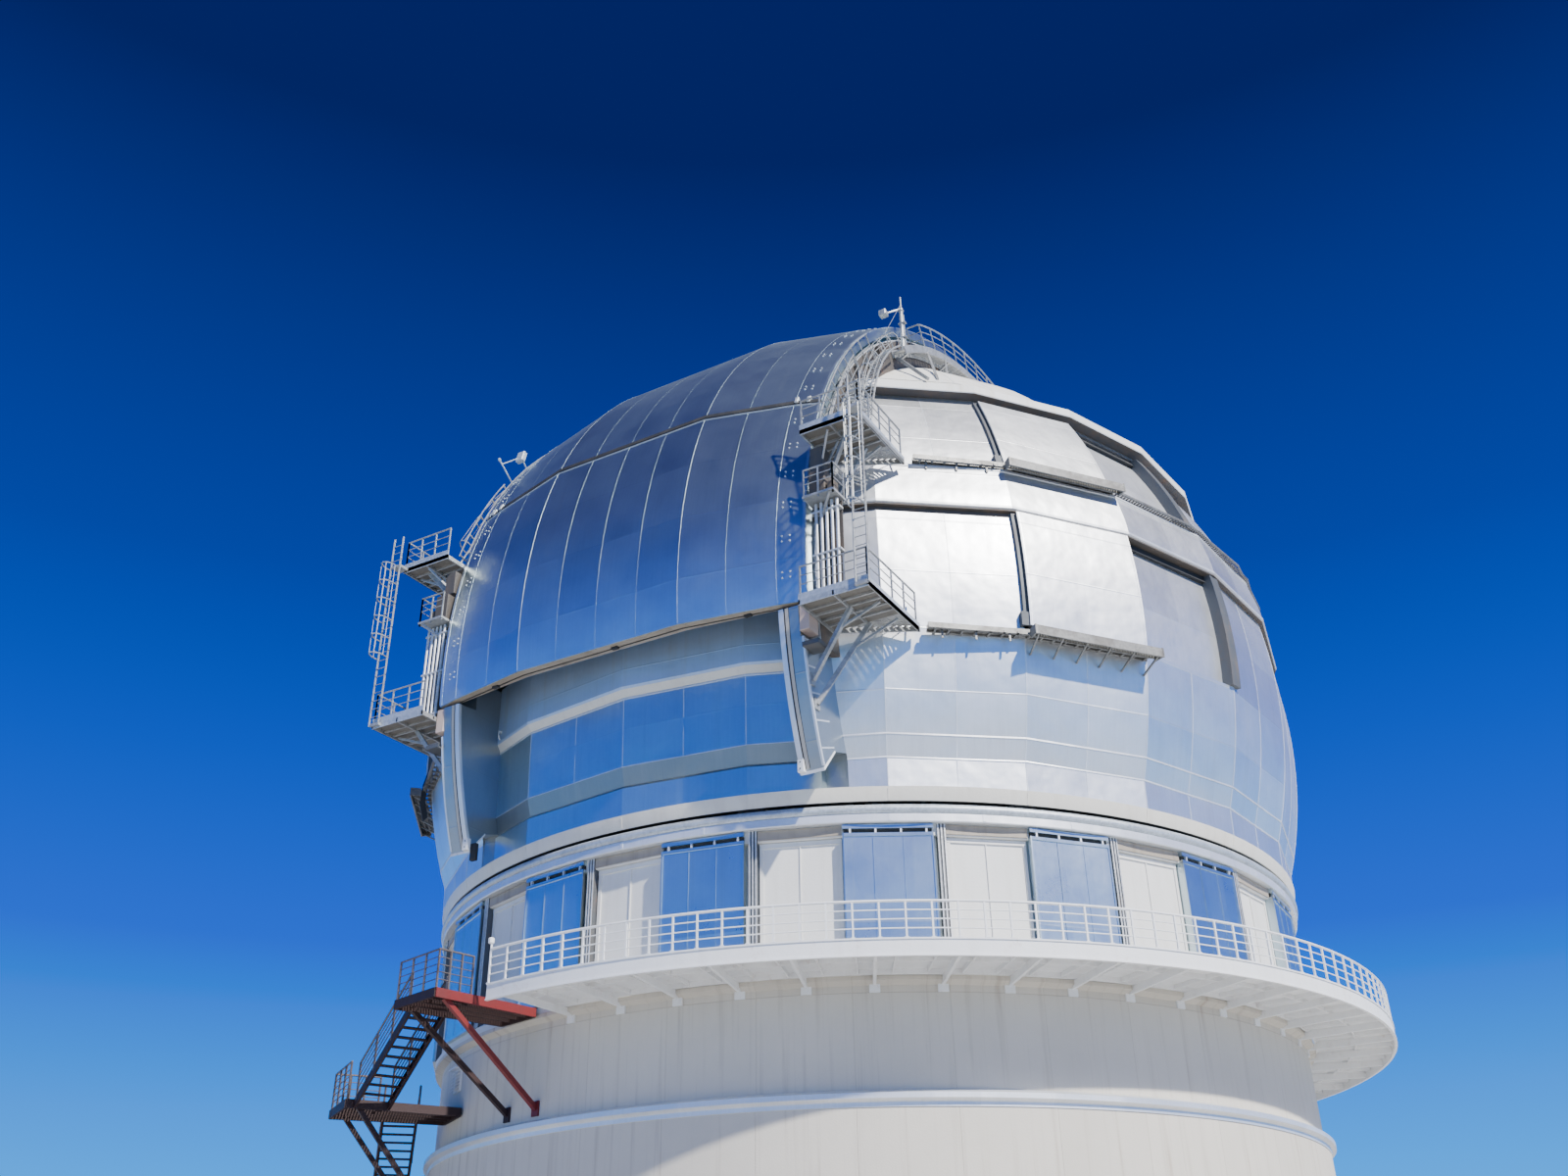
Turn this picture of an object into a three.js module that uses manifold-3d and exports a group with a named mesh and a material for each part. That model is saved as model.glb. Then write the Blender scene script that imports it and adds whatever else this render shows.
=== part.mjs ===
// Observatory dome: a rotating slit dome with an over-the-top shutter on a round building.
// Scale model 1:2. Every size below is in metres of the full-size building.
// +Z is up, the origin is on the dome axis at ground level, and the slit faces -Y.
// Azimuth is 0 at the slit and grows towards +X. Beta is the angle above the horizontal,
// measured in the slit plane from the front, over the zenith, to the back.

import * as THREE from 'three';
import { mergeVertices } from 'three/addons/utils/BufferGeometryUtils.js';
import Module from 'manifold-3d';

const wasm = await Module();
wasm.setup();

// Driving dimensions
const MODEL_MM_PER_METRE = 500;
const DEG = Math.PI / 180;
const FIT_GAP = 0.0006;

const GROUND_SLAB = 0.35;
const DRUM_INNER = 15.0;
const DRUM_LOWER = 15.6;
const DRUM_UPPER = 15.45;
const DRUM_TOP = 11.6;
const LEDGE_Z = 8.4;
const LEDGE_RADIUS = 15.78;
const FLOOR_Z = 11.2;
const FLOOR_RADIUS = 15.2;
const BAY_STEPS = 36;
const RING_STEPS = 48;
const ROUND_STEPS = 72;

const BAY = 20;
const COLUMN_AZ = -24.6;
const VENT_TOP = 15.95;
const VENT_INNER = 15.15;
const VENT_BACK = 15.5;
const VENT_FACE = 15.86;
const SILL_RADIUS = 15.72;
const RING_BEAM_TOP = 16.5;
const RAIL_TOP = 16.62;

const SPHERE_Z = 23.49;
const SPHERE_R = 17.0;
const SHELL_INNER = 16.6;
const SKIRT_BOTTOM = 16.58;
const SKIRT_TOP = 17.0;
const SKIRT_RADIUS = 16.02;
const LOWER_TRACK_Z = 21.8;
const BAND_Z = 26.3;
const UPPER_TRACK_Z = 28.0;
const CROWN_Z = 32.3;
const CROWN_RIM = 15.02;
const SHELL_STEPS = 24;
const VENT_BAY_AZ = [45, 75];
const SLIDE_AZ = [45.4, 59.6];

const SLIT_HALF = 7.15;
const ARCH_X = [6.85, 7.2];
const ARCH_INNER = 14.5;
const ARCH_END_Z = 20.9;
const SHUTTER_RAIL = 16.45;
const LEG_X = [6.2, 6.95];
const LEG_OUTER = 17.05;
const LEG_INSIDE = 16.2;
const LEG_TURNS = [-5.4, -10, -14, -18, -22.1];
const LEG_TOP = -1.5;
const LEAF_SPLIT = 22.9;
const LEAF_FRONT = -5;
const LEAF_BACK = 112;
const LEAF_STEPS = 72;

const WALKWAY_AZ = [-9.3, 190.7];
const WALKWAY_RADIUS = 18.3;
const WALKWAY_Z = 11.8;
const GUARD_HEIGHT = 1.1;
const GUARD_POST_STEP = 5;

const STAIR_WIDTH = 1.1;
const LANDING_THICK = 0.26;

// Finishes
const finish = (color, roughness, metalness) =>
  new THREE.MeshStandardMaterial({ color, roughness, metalness });
const CONCRETE = finish(0xd6cfc0, 0.9, 0);
const FLOOR_SCREED = finish(0x8c8c88, 0.85, 0);
const ALUMINIUM = finish(0xaab4bc, 0.35, 0.9);
const PALE_PANEL = finish(0xb9b6ad, 0.5, 0.3);
const GALVANISED = finish(0xb4b8b8, 0.5, 0.8);
const WHITE_STEEL = finish(0xeceeee, 0.45, 0.1);
const STAIR_RED = finish(0x5c1f1c, 0.6, 0.1);
const CROWN_CAP = finish(0xe6e6de, 0.55, 0.2);

const part = new THREE.Group();

// Solids from geometry, always with the faces pointing outwards
function signedVolume(positions, triangles) {
  const corners = [0, 1, 2].map(() => new THREE.Vector3());
  let total = 0;
  for (let i = 0; i < triangles.length; i += 3) {
    corners.forEach((corner, k) => corner.fromArray(positions, 3 * triangles[i + k]));
    total += corners[0].dot(corners[1].cross(corners[2])) / 6;
  }
  return total;
}

function toSolid(geometry) {
  const bare = geometry.clone();
  bare.deleteAttribute('normal');
  bare.deleteAttribute('uv');
  const merged = mergeVertices(bare, 1e-5);
  const positions = Float32Array.from(merged.attributes.position.array);
  const raw = merged.index.array;
  const triangles = [];
  for (let i = 0; i < raw.length; i += 3) {
    const [a, b, c] = [raw[i], raw[i + 1], raw[i + 2]];
    if (a !== b && b !== c && c !== a) triangles.push(a, b, c);
  }
  if (signedVolume(positions, triangles) < 0) triangles.reverse();
  const triVerts = Uint32Array.from(triangles);
  return new wasm.Manifold(new wasm.Mesh({ numProp: 3, vertProperties: positions, triVerts }));
}

function joined(...solids) {
  return solids.flat().reduce((whole, piece) => whole.add(piece));
}

function toGeometry(solid) {
  const mesh = solid.getMesh();
  const geometry = new THREE.BufferGeometry();
  geometry.setAttribute('position', new THREE.BufferAttribute(mesh.vertProperties, 3));
  geometry.setIndex(new THREE.BufferAttribute(mesh.triVerts, 1));
  return geometry;
}

function addNode(name, solid, material, side = 1) {
  const geometry = toGeometry(solid);
  geometry.scale(side * MODEL_MM_PER_METRE, MODEL_MM_PER_METRE, MODEL_MM_PER_METRE);
  if (side < 0) geometry.index.array.reverse();
  geometry.computeVertexNormals();
  const mesh = new THREE.Mesh(geometry, material);
  mesh.name = name;
  part.add(mesh);
}

function addPair(name, solid, material) {
  addNode(`${name}_right`, solid, material, 1);
  addNode(`${name}_left`, solid, material, -1);
}

// Basic shapes
function block([x0, x1], [y0, y1], [z0, z1]) {
  const box = new THREE.BoxGeometry(x1 - x0, y1 - y0, z1 - z0);
  box.translate((x0 + x1) / 2, (y0 + y1) / 2, (z0 + z1) / 2);
  return toSolid(box);
}

// A point on a circle around the dome axis
function polar(radius, azimuth, z) {
  return new THREE.Vector3(radius * Math.sin(azimuth * DEG), -radius * Math.cos(azimuth * DEG), z);
}

// A point on a circle around the slit's horizontal axis
function over(x, rho, beta) {
  return new THREE.Vector3(x, -rho * Math.cos(beta * DEG), SPHERE_Z + rho * Math.sin(beta * DEG));
}

// Turns a shape that runs along +Z, centred on its middle, onto the line between two points
function onLine(geometry, from, to, upright) {
  const along = new THREE.Vector3().subVectors(to, from).normalize();
  const side = new THREE.Vector3().crossVectors(upright, along).normalize();
  const rise = new THREE.Vector3().crossVectors(along, side);
  geometry.applyMatrix4(new THREE.Matrix4().makeBasis(side, rise, along));
  const middle = new THREE.Vector3().addVectors(from, to).multiplyScalar(0.5);
  geometry.translate(middle.x, middle.y, middle.z);
  return toSolid(geometry);
}

function uprightFor(from, to) {
  const along = new THREE.Vector3().subVectors(to, from).normalize();
  return Math.abs(along.z) > 0.98 ? new THREE.Vector3(0, -1, 0) : new THREE.Vector3(0, 0, 1);
}

function beam(from, to, width, height, upright = uprightFor(from, to)) {
  return onLine(new THREE.BoxGeometry(width, height, from.distanceTo(to)), from, to, upright);
}

function rod(from, to, radius, sides = 6) {
  const geometry = new THREE.CylinderGeometry(radius, radius, from.distanceTo(to), sides);
  geometry.rotateX(Math.PI / 2);
  return onLine(geometry, from, to, uprightFor(from, to));
}

// A rail through a list of points, each stretch a little longer so that the corners close
function rail(points, radius, sides = 4) {
  const stretches = [];
  for (let i = 0; i + 1 < points.length; i += 1) {
    const reach = new THREE.Vector3().subVectors(points[i + 1], points[i]).setLength(radius * 0.6);
    stretches.push(rod(points[i].clone().sub(reach), points[i + 1].clone().add(reach), radius, sides));
  }
  return joined(stretches);
}

// A bar that bends smoothly through evenly spaced points
function tube(points, radius, sides = 4) {
  const corners = Array.from({ length: sides }, (_, i) => {
    const angle = (2 * Math.PI * (i + 0.5)) / sides;
    return new THREE.Vector2(radius * Math.cos(angle), radius * Math.sin(angle));
  });
  const path = new THREE.CatmullRomCurve3(points);
  const settings = { steps: points.length - 1, extrudePath: path, bevelEnabled: false };
  return toSolid(new THREE.ExtrudeGeometry(new THREE.Shape(corners), settings));
}

// A closed profile of [radius, z] turned around the dome axis
function revolve(profile, steps, firstAz = 0) {
  const points = [...profile, profile[0]].map(([radius, z]) => new THREE.Vector2(radius, z));
  const geometry = new THREE.LatheGeometry(points, steps, firstAz * DEG);
  geometry.rotateX(Math.PI / 2);
  return toSolid(geometry);
}

// A closed profile of [x, rho] turned around the slit's horizontal axis
function revolveOver(profile, steps) {
  const points = [...profile, profile[0]].map(([x, rho]) => new THREE.Vector2(rho, -x));
  const geometry = new THREE.LatheGeometry(points, steps);
  const turn = new THREE.Matrix4().set(0, -1, 0, 0, 0, 0, -1, 0, 1, 0, 0, SPHERE_Z, 0, 0, 0, 1);
  geometry.applyMatrix4(turn);
  return toSolid(geometry);
}

function fan(from, to, reach) {
  const outline = [new THREE.Vector2(0, 0)];
  const steps = Math.max(2, Math.ceil((to - from) / 45));
  for (let i = 0; i <= steps; i += 1) {
    const angle = (from + ((to - from) * i) / steps) * DEG;
    outline.push(new THREE.Vector2(reach * Math.sin(angle), -reach * Math.cos(angle)));
  }
  return new THREE.Shape(outline);
}

// A wedge of the plan between two azimuths, used as a cutter
function sector(from, to, bottom = -1, top = 45) {
  const geometry = new THREE.ExtrudeGeometry(fan(from, to, 60), { depth: top - bottom, bevelEnabled: false });
  geometry.translate(0, 0, bottom);
  return toSolid(geometry);
}

// A wedge of the slit plane between two betas, used as a cutter
function overSector(from, to, halfWidth = 12) {
  const geometry = new THREE.ExtrudeGeometry(fan(from, to, 60), { depth: 2 * halfWidth, bevelEnabled: false });
  geometry.translate(0, 0, -halfWidth);
  const turn = new THREE.Matrix4().set(0, 0, 1, 0, 0, 1, 0, 0, 1, 0, 0, SPHERE_Z, 0, 0, 0, 1);
  geometry.applyMatrix4(turn);
  return toSolid(geometry);
}

// An outline of [y, z] points as a plate between two values of x
function sidePlate(outline, [x0, x1]) {
  const shape = new THREE.Shape(outline.map(([y, z]) => new THREE.Vector2(y, z)));
  const geometry = new THREE.ExtrudeGeometry(shape, { depth: x1 - x0, bevelEnabled: false });
  const turn = new THREE.Matrix4().set(0, 0, 1, x0, 1, 0, 0, 0, 0, 1, 0, 0, 0, 0, 0, 1);
  geometry.applyMatrix4(turn);
  return toSolid(geometry);
}

// An outline of [x, y] points as a plate between two heights
function flatPlate(outline, [z0, z1]) {
  const shape = new THREE.Shape(outline.map(([x, y]) => new THREE.Vector2(x, y)));
  const geometry = new THREE.ExtrudeGeometry(shape, { depth: z1 - z0, bevelEnabled: false });
  geometry.translate(0, 0, z0);
  return toSolid(geometry);
}

function ringPart(profile, [from, to], steps) {
  return revolve(profile, steps).intersect(sector(from, to));
}

function rectangle([r0, r1], [z0, z1]) {
  return [[r0, z0], [r1, z0], [r1, z1], [r0, z1]];
}

function sphereRadius(radius, z) {
  return Math.sqrt(radius * radius - (z - SPHERE_Z) * (z - SPHERE_Z));
}

// The building's core out to a wall face, used to cut what stands against that face
function wallCore(radius) {
  return revolve(rectangle([0, radius + FIT_GAP], [-1, 20]), BAY_STEPS, COLUMN_AZ);
}

// The angle that a small gap takes at a radius
const gapAngle = (radius) => FIT_GAP / radius / DEG;

// Round building
function buildGroundFloor() {
  const profile = [[0, 0], [DRUM_INNER - FIT_GAP, 0], [DRUM_INNER - FIT_GAP, GROUND_SLAB], [0, GROUND_SLAB]];
  addNode('ground_floor', revolve(profile, BAY_STEPS, COLUMN_AZ), FLOOR_SCREED);
}

function buildDrumWall() {
  const profile = [
    [DRUM_INNER, 0], [DRUM_LOWER, 0], [DRUM_LOWER, LEDGE_Z - 0.12], [LEDGE_RADIUS, LEDGE_Z],
    [LEDGE_RADIUS, LEDGE_Z + 0.14], [DRUM_UPPER, LEDGE_Z + 0.24], [DRUM_UPPER, DRUM_TOP],
    [FLOOR_RADIUS, DRUM_TOP], [FLOOR_RADIUS, FLOOR_Z], [DRUM_INNER, FLOOR_Z],
  ];
  const wall = revolve(profile, BAY_STEPS, COLUMN_AZ);
  for (let k = 0; k < 4; k += 1) {
    const start = COLUMN_AZ + 90 * k;
    const piece = wall.intersect(sector(start + gapAngle(DRUM_INNER), start + 90));
    addNode(`drum_wall_${k + 1}`, piece, CONCRETE);
  }
}

function buildObservingFloor() {
  const [bottom, top] = [FLOOR_Z + FIT_GAP, DRUM_TOP - 0.05];
  const profile = [[0, bottom], [FLOOR_RADIUS - FIT_GAP, bottom], [FLOOR_RADIUS - FIT_GAP, top], [0, top]];
  addNode('observing_floor', revolve(profile, BAY_STEPS, COLUMN_AZ), FLOOR_SCREED);
}

// One wall segment: a back wall with sill and head, and in each bay a column,
// a set-back pale panel and a proud metal panel with an open slot over it
function buildVentWalls() {
  const bottom = DRUM_TOP + FIT_GAP;
  const back = revolve([
    [VENT_INNER, bottom], [SILL_RADIUS, bottom], [SILL_RADIUS, WALKWAY_Z + 0.05],
    [VENT_BACK, WALKWAY_Z + 0.05], [VENT_BACK, VENT_TOP - 0.35], [VENT_BACK + 0.2, VENT_TOP - 0.35],
    [VENT_BACK + 0.2, VENT_TOP], [VENT_INNER, VENT_TOP],
  ], BAY_STEPS, COLUMN_AZ);
  const overBays = ([r0, r1], heights) => revolve(rectangle([r0, r1], heights), BAY_STEPS, COLUMN_AZ);
  const panel = overBays([VENT_BACK - 0.1, VENT_FACE], [WALKWAY_Z + 0.02, VENT_TOP - 0.14]);
  const column = overBays([VENT_BACK - 0.1, VENT_FACE - 0.08], [WALKWAY_Z, VENT_TOP]);
  let bay = 0;
  for (const [k, bays] of [4, 5, 4, 5].entries()) {
    const start = COLUMN_AZ - 0.5 + BAY * bay;
    const pieces = [back.intersect(sector(start + gapAngle(VENT_INNER), start + BAY * bays))];
    for (const last = bay + bays; bay < last; bay += 1) {
      const az = COLUMN_AZ + BAY * bay;
      pieces.push(column.intersect(sector(az - 0.45, az + 0.45)));
      pieces.push(panel.intersect(sector(az + 9.6, az + BAY - 0.9)));
    }
    addNode(`vent_wall_${k + 1}`, joined(pieces), PALE_PANEL);
  }
}

// Fixed ring on the vent walls: head band, half-round cover and the rail that the dome runs on
function buildRingBeam() {
  const bottom = VENT_TOP + FIT_GAP;
  const profile = [
    [VENT_INNER, bottom], [15.92, bottom], [15.92, 16.26], [16.0, 16.38], [15.84, RING_BEAM_TOP],
    [15.5, RING_BEAM_TOP], [15.5, RAIL_TOP], [VENT_INNER, RAIL_TOP],
  ];
  addNode('ring_beam', revolve(profile, RING_STEPS), ALUMINIUM);
}

// Gallery on brackets, from beside the stair round to the back
function buildWalkway() {
  const inner = VENT_BACK;
  const deck = revolve(rectangle([inner, WALKWAY_RADIUS - 0.05], [WALKWAY_Z - 0.12, WALKWAY_Z]), ROUND_STEPS);
  const channel = rectangle([WALKWAY_RADIUS - 0.09, WALKWAY_RADIUS], [WALKWAY_Z - 0.36, WALKWAY_Z + 0.12]);
  const edge = revolve(channel, ROUND_STEPS);
  const arc = sector(...WALKWAY_AZ);
  const pieces = [deck.intersect(arc), edge.intersect(arc)];
  for (let az = WALKWAY_AZ[0] + 2; az < WALKWAY_AZ[1]; az += 14) {
    const root = polar(VENT_INNER, az, WALKWAY_Z - 0.32);
    pieces.push(beam(root, polar(WALKWAY_RADIUS - 0.05, az, WALKWAY_Z - 0.2), 0.12, 0.2));
  }
  const belowSill = wallCore(DRUM_UPPER).intersect(block([-20, 20], [-20, 20], [0, DRUM_TOP]));
  const besideSill = wallCore(SILL_RADIUS).intersect(block([-20, 20], [-20, 20], [DRUM_TOP - FIT_GAP, 20]));
  addNode('walkway_deck', joined(pieces).subtract(belowSill).subtract(besideSill), WHITE_STEEL);
}

function buildWalkwayRailing() {
  const radius = WALKWAY_RADIUS - 0.045;
  const foot = WALKWAY_Z + 0.12 + FIT_GAP;
  const middle = (WALKWAY_AZ[0] + WALKWAY_AZ[1]) / 2;
  const halves = { front: [WALKWAY_AZ[0] + 0.1, middle - 0.1], back: [middle + 0.1, WALKWAY_AZ[1] - 0.1] };
  for (const [half, [from, to]] of Object.entries(halves)) {
    const count = Math.round((to - from) / GUARD_POST_STEP);
    const stations = Array.from({ length: count + 1 }, (_, i) => from + ((to - from) * i) / count);
    const line = (height, size) => tube(stations.map((az) => polar(radius, az, WALKWAY_Z + height)), size);
    const pieces = [line(GUARD_HEIGHT, 0.045), line(0.65, 0.03)];
    for (const az of stations) {
      pieces.push(beam(polar(radius, az, foot), polar(radius, az, WALKWAY_Z + GUARD_HEIGHT), 0.05, 0.05));
    }
    addNode(`walkway_railing_${half}`, joined(pieces), WHITE_STEEL);
  }
}

// Outside stair: straight flights that follow the drum between landings
const STAIR_LANE = 16.95;
const STAIR_STAGES = [
  { name: 'upper', lane: 18.35, azimuth: [-18, -29], z: [11.75, 9.6], risers: 10 },
  { name: 'lower', lane: STAIR_LANE, azimuth: [-36, -52.5], z: [9.6, 6.3], risers: 16 },
  { name: 'third', lane: STAIR_LANE, azimuth: [-59.5, -76], z: [6.3, 3.15], risers: 15 },
  { name: 'ground', lane: STAIR_LANE, azimuth: [-83, -99], z: [3.15, 0], risers: 15 },
];
const TOP_LANDING_AZ = -11.6;
const TREAD_DROP = -0.1;

const lifted = (p, rise) => p.clone().add(new THREE.Vector3(0, 0, rise));

function guardRail(points, height = GUARD_HEIGHT) {
  const pieces = [];
  for (const [share, size] of [[1, 0.035], [0.55, 0.025]]) {
    pieces.push(rail(points.map((p) => lifted(p, height * share)), size));
  }
  for (const p of points) pieces.push(beam(lifted(p, -0.1), lifted(p, height), 0.05, 0.05));
  return pieces;
}

// Stringers, treads and handrails, cut off upright where the landings begin
function flightSolid({ lane, azimuth, z, risers }) {
  const top = polar(lane, azimuth[0], z[0]);
  const foot = polar(lane, azimuth[1], z[1]);
  const run = new THREE.Vector3().subVectors(foot, top);
  const across = new THREE.Vector3(-run.y, run.x, 0).setLength(STAIR_WIDTH / 2);
  const drop = new THREE.Vector3(0, 0, -0.13);
  const pieces = [];
  for (const shift of [across, across.clone().negate()]) {
    const at = (share) => top.clone().addScaledVector(run, share).add(shift);
    pieces.push(beam(at(-0.08).add(drop), at(1.08).add(drop), 0.08, 0.28));
    pieces.push(...guardRail([at(0.03), at(0.97)], 0.95));
  }
  for (let step = 1; step < risers; step += 1) {
    const centre = lifted(top.clone().addScaledVector(run, step / risers), TREAD_DROP);
    pieces.push(beam(centre.clone().add(across), centre.clone().sub(across), 0.24, 0.06));
  }
  const seat = gapAngle(lane);
  const end = z[1] > 0 ? azimuth[1] + seat : azimuth[1] - 4;
  return joined(pieces).intersect(sector(end, azimuth[0] - seat, 0, 20));
}

// A landing between two azimuths, with a guard rail along the stations given
function landingSolid([from, to], [wall, outer], z, guard) {
  const inner = wall - 0.5;
  const corners = [polar(inner, from, z), polar(outer, from, z), polar(outer, to, z), polar(inner, to, z)];
  const deck = flatPlate(corners.map((p) => [p.x, p.y]), [z - LANDING_THICK, z]);
  return [deck.subtract(wallCore(wall)), ...guardRail(guard.map(([radius, az]) => polar(radius, az, z)))];
}

// A brace under a landing, down to the wall, with its foot cut to the wall's face
function strut(radius, azimuth, z, footZ, wall) {
  const brace = beam(polar(radius, azimuth, z), polar(wall - 0.3, azimuth, footZ), 0.16, 0.16);
  return brace.subtract(wallCore(wall));
}

function buildStair() {
  const [upper, lower, third, ground] = STAIR_STAGES;
  const topZ = upper.z[0];
  const topGuard = [[18.2, TOP_LANDING_AZ - 0.2], [19.4, TOP_LANDING_AZ - 0.2], [19.4, upper.azimuth[0] + 0.2]];
  const top = landingSolid([upper.azimuth[0], TOP_LANDING_AZ], [SILL_RADIUS, 19.5], topZ, topGuard);
  for (const az of [TOP_LANDING_AZ - 0.6, upper.azimuth[0] + 0.6]) {
    top.push(strut(19.0, az, topZ - 0.2, 8.95, DRUM_UPPER));
  }
  addNode('stair_top_landing', joined(top), STAIR_RED);
  addNode('stair_upper_flight', flightSolid(upper), STAIR_RED);

  const middleGuard = [[19.1, -29.2], [19.1, -35.8], [17.7, -35.8]];
  const middle = landingSolid([upper.azimuth[1], lower.azimuth[0]], [DRUM_UPPER, 19.2], upper.z[1], middleGuard);
  for (const az of [-29.6, -35.4]) middle.push(strut(18.7, az, upper.z[1] - 0.2, 5.7, DRUM_LOWER));
  addNode('stair_middle_landing', joined(middle), STAIR_RED);
  addNode('stair_lower_flight', flightSolid(lower), STAIR_RED);

  for (const [above, stage] of [[lower, third], [third, ground]]) {
    const [from, to] = [above.azimuth[1], stage.azimuth[0]];
    const guard = [[17.6, from - 0.2], [17.6, to + 0.2]];
    const landing = landingSolid([from, to], [DRUM_LOWER, 17.7], stage.z[0], guard);
    for (const az of [from - 0.6, to + 0.6]) {
      landing.push(strut(17.2, az, stage.z[0] - 0.2, stage.z[0] - 1.7, DRUM_LOWER));
    }
    const overlap = { ...stage, azimuth: [stage.azimuth[0] + 0.1, stage.azimuth[1]] };
    addNode(`stair_${stage.name}_flight`, joined(landing, flightSolid(overlap)), STAIR_RED);
  }
}

// Rotating ring under the dome, with truck blocks that stand on the fixed rail
function buildSkirtRing() {
  const ring = revolve([
    [15.2, SKIRT_BOTTOM + 0.22], [15.72, SKIRT_BOTTOM + 0.22], [15.82, SKIRT_BOTTOM],
    [15.92, SKIRT_BOTTOM], [SKIRT_RADIUS, SKIRT_TOP], [15.2, SKIRT_TOP],
  ], RING_STEPS);
  const pieces = [ring];
  for (let k = 0; k < 12; k += 1) {
    const az = 15 + 30 * k;
    const middle = RAIL_TOP + FIT_GAP + 0.14;
    pieces.push(beam(polar(15.3, az, middle), polar(15.6, az, middle), 0.8, 0.28));
  }
  addNode('skirt_ring', joined(pieces), PALE_PANEL);
}

function shellProfile(outer) {
  const heights = outer.map(([, z]) => z);
  const [low, high] = [Math.min(...heights), Math.max(...heights)];
  const inner = [high, (low + high) / 2, low].map((z) => [sphereRadius(SHELL_INNER, z), z]);
  return [...outer, ...inner];
}

const besideArch = block([ARCH_X[1] + FIT_GAP, 30], [-30, 30], [0, 45]);
const besideLeg = joined([besideArch, block([LEG_X[1] + FIT_GAP, 30], [-30, 0], [0, ARCH_END_Z - FIT_GAP])]);
const onSphere = (z) => [sphereRadius(SPHERE_R, z), z];

const LOWER_OUTLINE = [
  [SKIRT_RADIUS, SKIRT_TOP + FIT_GAP], [16.05, 17.9], [16.27, 18.57], onSphere(20.1), onSphere(LOWER_TRACK_Z),
];
const UPPER_OUTLINE = [onSphere(UPPER_TRACK_Z + FIT_GAP), onSphere(29.1), onSphere(30.7), onSphere(CROWN_Z)];

function buildShells() {
  const lower = shellProfile(LOWER_OUTLINE);
  addPair('shell_lower', revolve(lower, SHELL_STEPS).intersect(besideLeg), ALUMINIUM);

  const middleFoot = LOWER_TRACK_Z + FIT_GAP;
  const middle = shellProfile([
    onSphere(middleFoot), onSphere(SPHERE_Z), onSphere(BAND_Z),
    [16.98, BAND_Z + 0.02], [16.9, 26.9], [16.64, UPPER_TRACK_Z - 0.1], onSphere(UPPER_TRACK_Z),
  ]);
  const upper = shellProfile(UPPER_OUTLINE);
  const tiers = [
    ['shell_middle', middle, [middleFoot + 0.12, BAND_Z - 0.1]],
    ['shell_upper', upper, [UPPER_TRACK_Z + 0.25, CROWN_Z - 0.25]],
  ];
  for (const [name, profile, [foot, head]] of tiers) {
    const recess = ringPart(ventBand(0.17, 2, foot, head), VENT_BAY_AZ, SHELL_STEPS);
    const post = ringPart(ventBand(0.1, 0.52, foot, head), [VENT_BAY_AZ[1] - 0.8, VENT_BAY_AZ[1] + 0.9], SHELL_STEPS);
    const shell = joined(revolve(profile, SHELL_STEPS).intersect(besideArch).subtract(recess), post);
    addPair(name, shell, ALUMINIUM);
    const slide = ringPart(ventBand(0.17 + FIT_GAP, 0.62, foot + 0.04, head - 0.04), SLIDE_AZ, SHELL_STEPS);
    addPair(name.replace('shell', 'vent_panel'), slide, ALUMINIUM);
  }
}

// A band that follows the sphere, between two distances outside the inner face
function ventBand(near, far, foot, head) {
  const heights = [foot, (foot + head) / 2, head];
  const outer = heights.map((z) => [sphereRadius(SHELL_INNER + far, z), z]);
  const inner = heights.map((z) => [sphereRadius(SHELL_INNER + near, z), z]).reverse();
  return [...outer, ...inner];
}

function buildCrown() {
  const foot = CROWN_Z + FIT_GAP;
  const cap = [34.6, 36.3, 37.7, 38.8, 39.35].map((z) => [sphereRadius(SPHERE_R, z), z]);
  const inner = [38.7, 37.0, 34.8, foot].map((z) => [sphereRadius(SHELL_INNER, z), z]);
  const profile = [[CROWN_RIM, foot], [CROWN_RIM, CROWN_Z + 0.35], [14.35, 32.95], ...cap, ...inner];
  addPair('crown', revolve(profile, SHELL_STEPS).intersect(besideArch), CROWN_CAP);
}

// Side view of a point on an arch, as y and z
function archPoint(rho, beta) {
  return [-rho * Math.cos(beta * DEG), SPHERE_Z + rho * Math.sin(beta * DEG)];
}

// Deep girder beside the slit: its top is the rail that the shutter rolls on
function buildArches() {
  const seat = SKIRT_TOP + FIT_GAP;
  const [x0, x1] = ARCH_X;
  const band = revolveOver([[x0, ARCH_INNER], [x1, ARCH_INNER], [x1, SHUTTER_RAIL], [x0, SHUTTER_RAIL]], LEAF_STEPS);
  const reach = joined(block([0, 10], [0, 30], [0, 45]), block([0, 10], [-30, 0], [ARCH_END_Z, 45]));
  const backLeg = sidePlate([
    [SHUTTER_RAIL, SPHERE_Z], [15.95, 19.5], [14.9, 17.5], [14.3, seat],
    [13.2, seat], [13.2, 18.2], [ARCH_INNER, SPHERE_Z],
  ], ARCH_X);
  const arch = joined(band.intersect(overSector(-12, 198)).intersect(reach), backLeg);
  addPair('arch_girder', arch, GALVANISED);
}

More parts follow.
